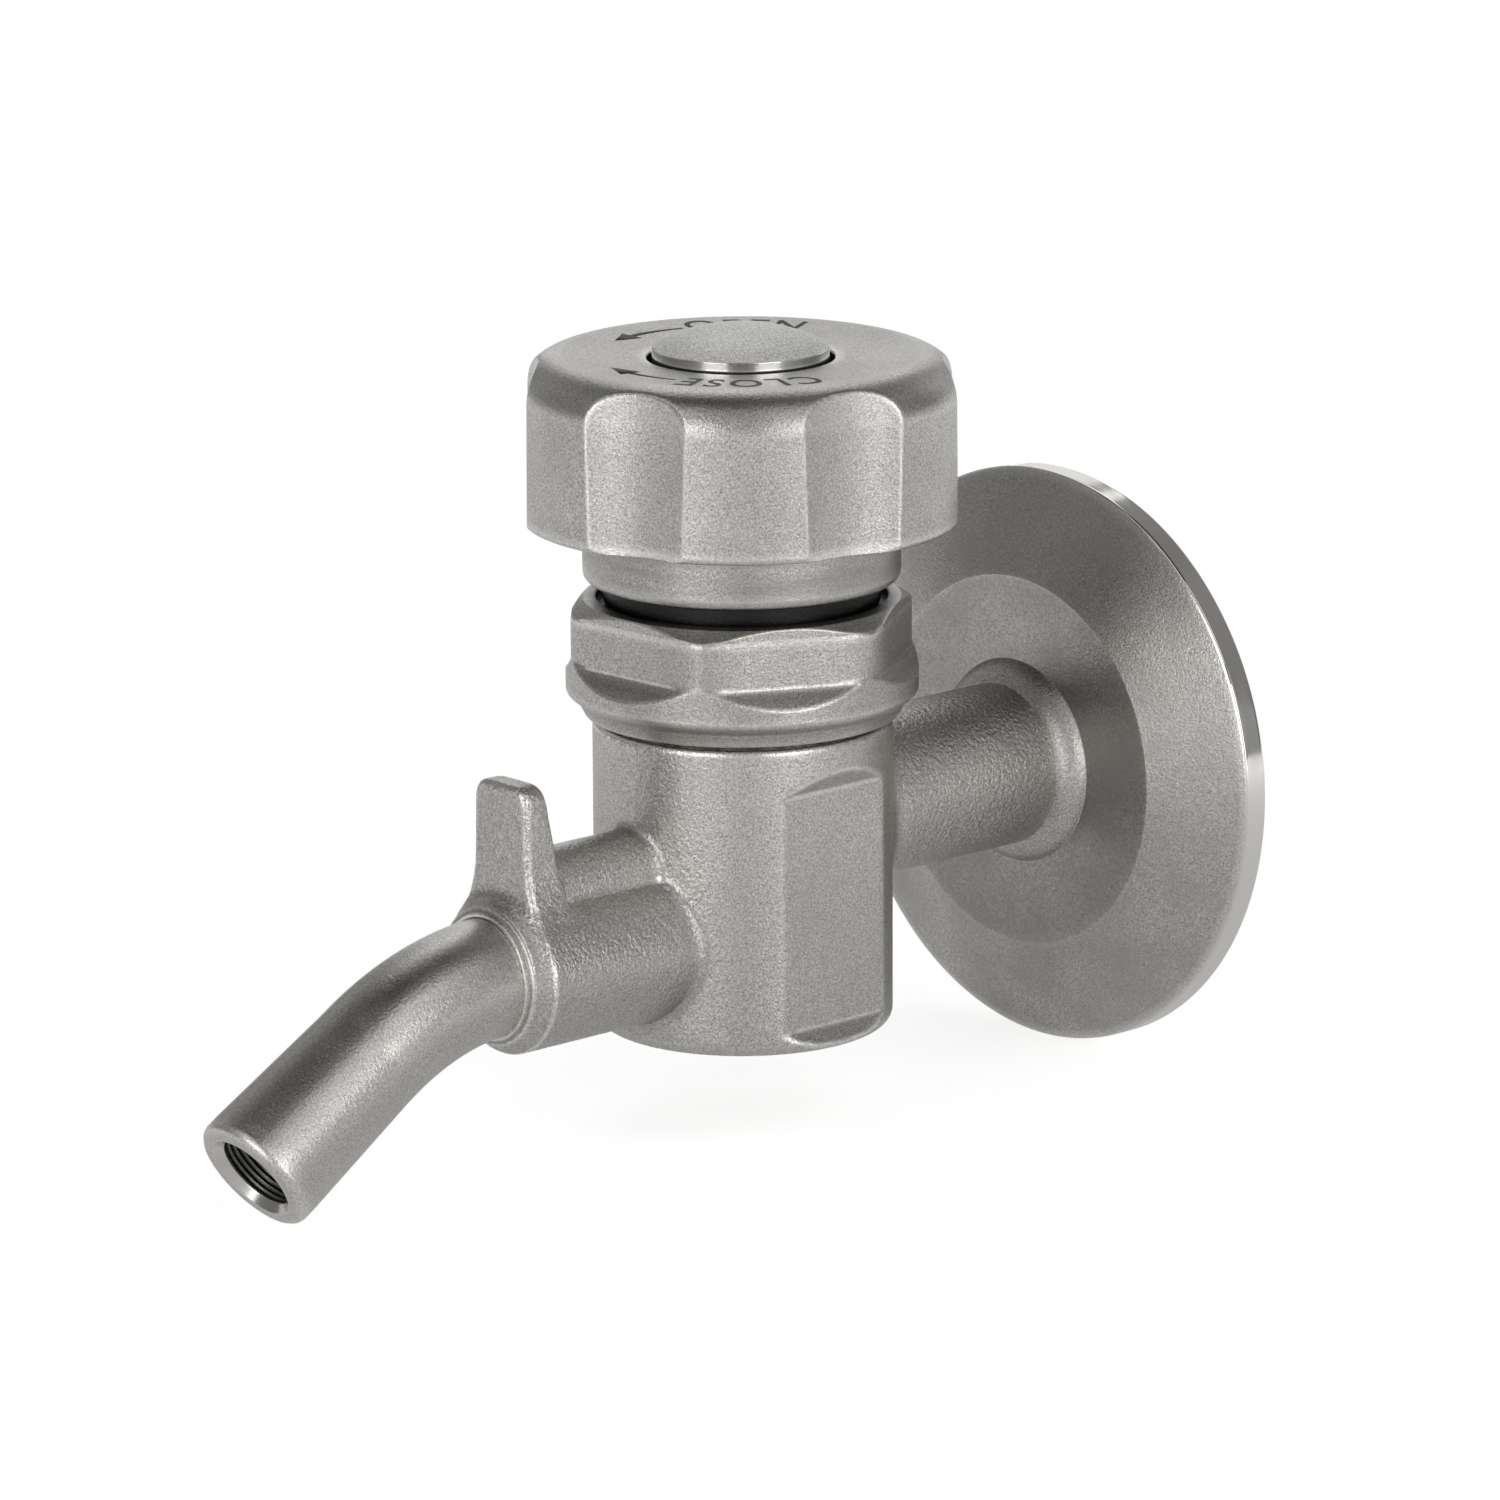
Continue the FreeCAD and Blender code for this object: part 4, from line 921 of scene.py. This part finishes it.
def noise(tree, where, scale, detail=2.0, roughness=0.55, stretch=None):
    """A noise between 0 and 1, about scale grains to the metre, and stretch times finer
    along x, y and z."""
    if stretch is not None:
        mapping = tree.nodes.new("ShaderNodeMapping")
        mapping.inputs["Scale"].default_value = stretch
        tree.links.new(where, mapping.inputs["Vector"])
        where = mapping.outputs["Vector"]
    made = tree.nodes.new("ShaderNodeTexNoise")
    made.inputs["Scale"].default_value = scale
    made.inputs["Detail"].default_value = detail
    made.inputs["Roughness"].default_value = roughness
    tree.links.new(where, made.inputs["Vector"])
    return made.outputs["Fac"]


def spread(tree, value, low, high, out_low=0.0, out_high=1.0):
    """Stretches a value from low..high to out_low..out_high, and stops at the ends."""
    made = tree.nodes.new("ShaderNodeMapRange")
    sockets = ("From Min", "From Max", "To Min", "To Max")
    for socket, amount in zip(sockets, (low, high, out_low, out_high)):
        made.inputs[socket].default_value = amount
    tree.links.new(value, made.inputs["Value"])
    return made.outputs["Result"]


def feed(tree, socket, value):
    """Gives a socket a number, a colour or what another node puts out."""
    if isinstance(value, (int, float)):
        socket.default_value = value
    elif isinstance(value, tuple):
        socket.default_value = (*value, 1.0)
    else:
        tree.links.new(value, socket)


def reckon(tree, kind, a, b):
    """One sum of two values, each a number or a socket."""
    made = tree.nodes.new("ShaderNodeMath")
    made.operation = kind
    feed(tree, made.inputs[0], a)
    feed(tree, made.inputs[1], b)
    return made.outputs["Value"]


def blend_colour(tree, share, first, second):
    """Mixes two colours, each a colour or a socket, by a share."""
    made = tree.nodes.new("ShaderNodeMix")
    made.data_type = "RGBA"
    feed(tree, made.inputs["Factor"], share)
    feed(tree, made.inputs[6], first)
    feed(tree, made.inputs[7], second)
    return made.outputs[2]


def attribute(tree, label):
    """The number of this name that the points of the mesh carry."""
    made = tree.nodes.new("ShaderNodeAttribute")
    made.attribute_name = label
    return made.outputs["Fac"]


def bump(tree, height, strength, distance, below=None):
    """A bump of this height in metres, on top of another bump if one is given."""
    made = tree.nodes.new("ShaderNodeBump")
    made.inputs["Strength"].default_value = strength
    made.inputs["Distance"].default_value = distance
    tree.links.new(height, made.inputs["Height"])
    if below is not None:
        tree.links.new(below, made.inputs["Normal"])
    return made.outputs["Normal"]


def times(colour, share):
    """A colour made darker or lighter by a share, and never above 1."""
    return tuple(min(1.0, share * channel) for channel in colour)


print("half of a grey:", times((0.5, 0.5, 0.5), 0.5))

# %% [markdown]
# ## Blasted steel
#
# Bead blasting leaves tiny dents all over, a sixth to a third of a millimetre wide. Each
# glints on its own, so the skin looks grainy and its reflections are broad. Two fine
# noises drive both a bump and the change of grey. Larger clouds vary the grey, and the
# orange peel is added where the body's peel value says. Edges marked bright are lighter
# and smoother, as wear and a painted highlight. Inner corners get painted shade, recesses
# are painted near black as shade, and the polished rims are smooth and light.

# %% Blasted steel
FINE, SPECK, CLOUD, PEEL = 6000, 3400, 110, 2600
FINE_DEPTH, SPECK_DEPTH = 0.00004, 0.00006
EVEN = (1.0, 1.0, 1.0)
SHADE_BLACK = (0.02, 0.02, 0.02)


def blasted_steel(name, colour, rough, grain=1.0, peel_depth=0.0, cloudy=0.35, smear=EVEN,
                  metal=1.0):
    """Bead-blasted stainless steel. Where polish is 1 the metal is smooth and lighter.
    smear says how many times finer the clouds are along x, y and z. A metal share below
    1 stands for a skin so finely dented that it scatters light every way."""
    made, tree, shader, where = new_material(name)
    fine = noise(tree, where, FINE, 2.0, 0.7)
    speck = noise(tree, where, SPECK, 2.0, 0.6)
    cloud = noise(tree, where, CLOUD, 4.0, 0.6, smear)
    edge, polish = attribute(tree, "edge"), attribute(tree, "polish")
    light = tuple(1.5 * channel for channel in colour)
    tone = blend_colour(tree, spread(tree, fine, 0.3, 0.7), times(colour, 0.5), light)
    glint = spread(tree, speck, 0.62, 0.78, 0.0, 0.6)
    tone = blend_colour(tree, glint, tone, times(colour, 1.5))
    pit = spread(tree, speck, 0.36, 0.22, 0.0, 0.6)
    tone = blend_colour(tree, pit, tone, times(colour, 0.45))
    dull = spread(tree, cloud, 0.3, 0.7, 0.0, cloudy)
    tone = blend_colour(tree, dull, tone, times(colour, 0.75))
    # Edges marked bright get lighter: wear and a painted highlight.
    wear_and_highlight = reckon(tree, "MULTIPLY", spread(tree, edge, 0.1, 0.9),
                  spread(tree, speck, 0.3, 0.7, 0.35, 1.0))
    tone = blend_colour(tree, reckon(tree, "MULTIPLY", wear_and_highlight, 0.9), tone, times(colour, 1.8))
    # Painted shade in inner corners.
    inner = spread(tree, edge, -1.0, -0.1, 0.6, 0.0)
    tone = blend_colour(tree, inner, tone, times(colour, 0.35))
    # Painted shade, near black, in recesses where little light gets in.
    black_shade = spread(tree, edge, -2.0, -1.1, 0.96, 0.0)
    tone = blend_colour(tree, black_shade, tone, SHADE_BLACK)
    tone = blend_colour(tree, polish, tone, times(colour, 1.3))
    roughness = spread(tree, cloud, 0.3, 0.7, rough - 0.04, rough + 0.05)
    roughness = reckon(tree, "SUBTRACT", roughness, reckon(tree, "MULTIPLY", wear_and_highlight, 0.12))
    smooth = reckon(tree, "MULTIPLY", polish, rough - 0.13)
    roughness = reckon(tree, "SUBTRACT", roughness, smooth)
    tree.links.new(tone, shader.inputs["Base Color"])
    tree.links.new(roughness, shader.inputs["Roughness"])
    tree.links.new(reckon(tree, "MAXIMUM", polish, metal), shader.inputs["Metallic"])
    blasted = reckon(tree, "SUBTRACT", 1.0, polish)
    dents, pits = (reckon(tree, "MULTIPLY", size, blasted) for size in (fine, speck))
    normal = bump(tree, dents, 0.6 * grain, FINE_DEPTH)
    normal = bump(tree, pits, 0.5 * grain, SPECK_DEPTH, normal)
    if peel_depth:
        skin = noise(tree, where, PEEL, 2.0, 0.5)
        skin = reckon(tree, "MULTIPLY", skin, attribute(tree, "peel"))
        normal = bump(tree, skin, 1.0, peel_depth, normal)
    tree.links.new(normal, shader.inputs["Normal"])
    return made


STEEL = (0.56, 0.545, 0.52)
cast_steel = blasted_steel("cast_steel", STEEL, 0.36, 1.0, 0.00012)
flange_steel = blasted_steel("flange_steel", (0.58, 0.565, 0.54), 0.35, 0.8, cloudy=0.9)
wheel_steel = blasted_steel("wheel_steel", (0.5, 0.49, 0.47), 0.36, 0.9)
collar_steel = blasted_steel(
    "collar_steel", (0.44, 0.43, 0.41), 0.36, 0.9, cloudy=1.0, smear=(0.8, 0.8, 8.0))
nut_steel = blasted_steel("nut_steel", (0.49, 0.475, 0.455), 0.36)
polished_steel = blasted_steel(
    "polished_steel", (0.74, 0.73, 0.71), 0.42, 0.6, cloudy=0.1, metal=0.4)
etched = blasted_steel("etched_mark", (0.1, 0.09, 0.08), 0.6)
print("blasted finishes:", cast_steel.name, flange_steel.name, wheel_steel.name)

# %% [markdown]
# ## The finishes inside
#
# The rod, bonnet and spindle were turned and left so, which shows as fine lines round
# the axis. A noise squeezed along the axis gives them. Seals and bushes are plain rubber
# and plastic with a fine grain. Little of this is seen from outside, but the valve
# can be taken apart.

# %% Turned metal, rubber and plastic
TURNING, TURNING_DEPTH, TURNING_STRETCH = 9000, 0.000004, (0.04, 0.04, 1.0)


def turned_metal(name, colour, rough):
    """Lathe-turned metal: fine lines that run round the axis, because the noise is far
    finer along the stem than across it."""
    made, tree, shader, where = new_material(name)
    lines = noise(tree, where, TURNING, 2.0, 0.7, TURNING_STRETCH)
    cloud = noise(tree, where, 140, 3.0)
    tone = blend_colour(
        tree, spread(tree, lines, 0.3, 0.7), times(colour, 0.85), times(colour, 1.12))
    dull = spread(tree, cloud, 0.35, 0.7, 0.0, 0.3)
    tone = blend_colour(tree, dull, tone, times(colour, 0.75))
    roughness = spread(tree, lines, 0.3, 0.7, rough - 0.04, rough + 0.06)
    tree.links.new(tone, shader.inputs["Base Color"])
    tree.links.new(roughness, shader.inputs["Roughness"])
    shader.inputs["Metallic"].default_value = 1.0
    tree.links.new(bump(tree, lines, 0.5, TURNING_DEPTH), shader.inputs["Normal"])
    return made


def soft_material(name, colour, rough, grain_scale, grain_depth):
    """Rubber or plastic: a plain body with a fine grain and a slight mottle."""
    made, tree, shader, where = new_material(name)
    grain = noise(tree, where, grain_scale, 2.0)
    tone = blend_colour(tree, spread(tree, grain, 0.3, 0.7), times(colour, 0.88), colour)
    roughness = spread(tree, grain, 0.3, 0.7, rough - 0.05, rough + 0.05)
    tree.links.new(tone, shader.inputs["Base Color"])
    tree.links.new(roughness, shader.inputs["Roughness"])
    tree.links.new(bump(tree, grain, 0.4, grain_depth), shader.inputs["Normal"])
    return made


turned_steel = turned_metal("turned_steel", (0.62, 0.61, 0.59), 0.24)
bronze = turned_metal("bronze", (0.62, 0.44, 0.22), 0.3)
white_plastic = soft_material("white_plastic", (0.86, 0.86, 0.83), 0.4, 3000, 0.00001)
seal_rubber = soft_material("seal_rubber", (0.045, 0.045, 0.05), 0.6, 4000, 0.00002)
print("inner finishes:", turned_steel.name, bronze.name, white_plastic.name, seal_rubber.name)

# %% [markdown]
# ## Which piece gets which finish
#
# The new pieces get theirs one by one. The nut looks a little darker than the body, so
# it has a finish of its own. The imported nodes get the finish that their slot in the
# record names, including those inside that only show when the valve is taken apart.

# %% Finishes
for piece, finish in (
    (valve_body, cast_steel), (flange, flange_steel), (flange_weld, cast_steel),
    (union_nut, nut_steel), (spout, cast_steel), (spout_weld, cast_steel),
    (handwheel, wheel_steel), (collar, collar_steel), (cap, polished_steel),
    *((mark, etched) for mark in marks),
):
    piece.data.materials.clear()
    piece.data.materials.append(finish)
finishes = {
    "cast_steel": cast_steel, "flange_steel": flange_steel, "wheel_steel": wheel_steel,
    "collar_steel": collar_steel, "polished_steel": polished_steel,
    "turned_steel": turned_steel, "bronze": bronze, "white_plastic": white_plastic,
    "seal_rubber": seal_rubber,
}
for subpart in frame["record"]["subparts"]:
    node = nodes[subpart["node"]]
    node.data.materials.clear()
    node.data.materials.append(finishes[subpart["material_slot"]])
print("finishes:", sorted(finishes))

# %% [markdown]
# ## Floor
#
# The rim of the flange just touches a white sweep with no edge in sight. The floor gives
# off a little light of its own, but only to the rays that show it: to the camera and to
# reflections. To reflections that light fades towards the valve, a painted shadow, so that
# the undersides of the steel mirror a darker patch, as they would over a real table.

# %% Floor
FLOOR = -25.3
FLOOR_REACH = 3.0
FLOOR_GREY = 0.8
GLOW_NEAR, GLOW_FAR = 0.16, 0.62
POOL_NEAR, POOL_FAR = 0.02, 0.34
BACKDROP = 0.7


def sweep_paint(name):
    """White matt paint that also glows: to the camera by BACKDROP, and to glossy and
    transmission rays by a strength that rises with the distance from the point under the
    valve, which paints a shadow round the valve into the reflections."""
    made, tree, shader, where = new_material(name)
    shader.inputs["Base Color"].default_value = (FLOOR_GREY, FLOOR_GREY, FLOOR_GREY, 1.0)
    shader.inputs["Roughness"].default_value = 0.9
    shader.inputs["Specular IOR Level"].default_value = 0.0
    away = tree.nodes.new("ShaderNodeVectorMath")
    away.operation = "LENGTH"
    tree.links.new(where, away.inputs[0])
    # Painted shadow: the glow seen in reflections is weakest near the point under the valve.
    glow_with_shadow = spread(tree, away.outputs["Value"], POOL_NEAR, POOL_FAR, GLOW_NEAR, GLOW_FAR)
    path = tree.nodes.new("ShaderNodeLightPath")
    looked_at = path.outputs["Is Camera Ray"]
    mirrored = reckon(
        tree, "MAXIMUM", path.outputs["Is Glossy Ray"], path.outputs["Is Transmission Ray"])
    seen = reckon(tree, "MAXIMUM", looked_at, mirrored)
    direct = reckon(tree, "MULTIPLY", looked_at, BACKDROP)
    strength = reckon(tree, "MAXIMUM", direct, reckon(tree, "MULTIPLY", mirrored, glow_with_shadow))
    glow = tree.nodes.new("ShaderNodeEmission")
    tree.links.new(strength, glow.inputs["Strength"])
    lit = tree.nodes.new("ShaderNodeAddShader")
    tree.links.new(shader.outputs[0], lit.inputs[0])
    tree.links.new(glow.outputs[0], lit.inputs[1])
    switch = tree.nodes.new("ShaderNodeMixShader")
    tree.links.new(seen, switch.inputs["Fac"])
    tree.links.new(shader.outputs[0], switch.inputs[1])
    tree.links.new(lit.outputs[0], switch.inputs[2])
    tree.links.new(switch.outputs[0], tree.nodes["Material Output"].inputs["Surface"])
    return made


corners = [(across * FLOOR_REACH, along * FLOOR_REACH, 0.0)
           for across, along in ((-1, -1), (1, -1), (1, 1), (-1, 1))]
floor_mesh = bpy.data.meshes.new("floor")
floor_mesh.from_pydata(corners, [], [(0, 1, 2, 3)])
floor_mesh.materials.append(sweep_paint("floor_paint"))
floor = bpy.data.objects.new("floor", floor_mesh)
floor.location = (0.0, STEM_Y * MM, FLOOR * MM)
bpy.context.scene.collection.objects.link(floor)
print("floor at", FLOOR, "mm, glow from", GLOW_NEAR, "to", GLOW_FAR)

# %% [markdown]
# ## Room
#
# Steel shows what is around it, so the room matters as much as the lamps. It is a plain
# gradient by height: dim near the floor, lighter at mid height and dark at the ceiling.
# The height used is the sine of the angle above the level.

# %% Room
ROOM = ((0.0, 0.12), (0.3, 0.23), (0.7, 0.26), (0.85, 0.05), (1.0, 0.04))

world = bpy.data.worlds.new("room")
bpy.context.scene.world = world
world.use_nodes = True
tree = world.node_tree
where = tree.nodes.new("ShaderNodeTexCoord")
parts = tree.nodes.new("ShaderNodeSeparateXYZ")
tree.links.new(where.outputs["Generated"], parts.inputs[0])
wall = tree.nodes.new("ShaderNodeValToRGB")
ramp = wall.color_ramp.elements
while len(ramp) < len(ROOM):
    ramp.new(0.5)
for stop, (height, grey) in zip(ramp, ROOM):
    stop.position = height
    stop.color = (grey, grey, grey, 1.0)
tree.links.new(parts.outputs["Z"], wall.inputs["Fac"])
tree.links.new(wall.outputs["Color"], tree.nodes["Background"].inputs["Color"])
tree.nodes["Background"].inputs["Strength"].default_value = 1.0
print("room greys:", ROOM)

# %% [markdown]
# ## Lamps
#
# Ten soft boxes stand round the valve. Two strong low ones, far left and right of the
# camera, give the bright bands down the barrel's sides. Two behind give the rims their
# light edges, and the high ones light the wheel's top and the spout's back.

# %% Lamps
BOX, LAMP_DISTANCE = 0.5, 0.9
LAMPS = (
    ("low_left", 15, 12, 1.85), ("low_right", 85, 12, 1.85), ("side_right", 120, 12, 0.16),
    ("side_left", -90, 15, 0.12), ("high_left", 0, 50, 0.5), ("high_front", 48, 45, 0.1),
    ("high_right", 95, 50, 0.65), ("high_back", 228, 50, 0.7), ("low_back", 228, 15, 0.54),
    ("far_side", 190, 15, 0.3),
)


def lamp(name, azimuth, height, power):
    """A square soft lamp that looks at the valve, with its place as two angles in
    degrees. Angles count as the camera's do."""
    data = bpy.data.lights.new(name, "AREA")
    data.size = BOX
    data.energy = power
    made = bpy.data.objects.new(name, data)
    away = towards(math.radians(azimuth), math.radians(height))
    side = np.cross([0.0, 0.0, 1.0], away)
    side /= np.linalg.norm(side)
    made.matrix_world = stand(side, np.cross(away, side), away, away * LAMP_DISTANCE + STEM * MM)
    made.visible_camera = False
    bpy.context.scene.collection.objects.link(made)


for described in LAMPS:
    lamp(*described)
print(len(LAMPS), "lamps")
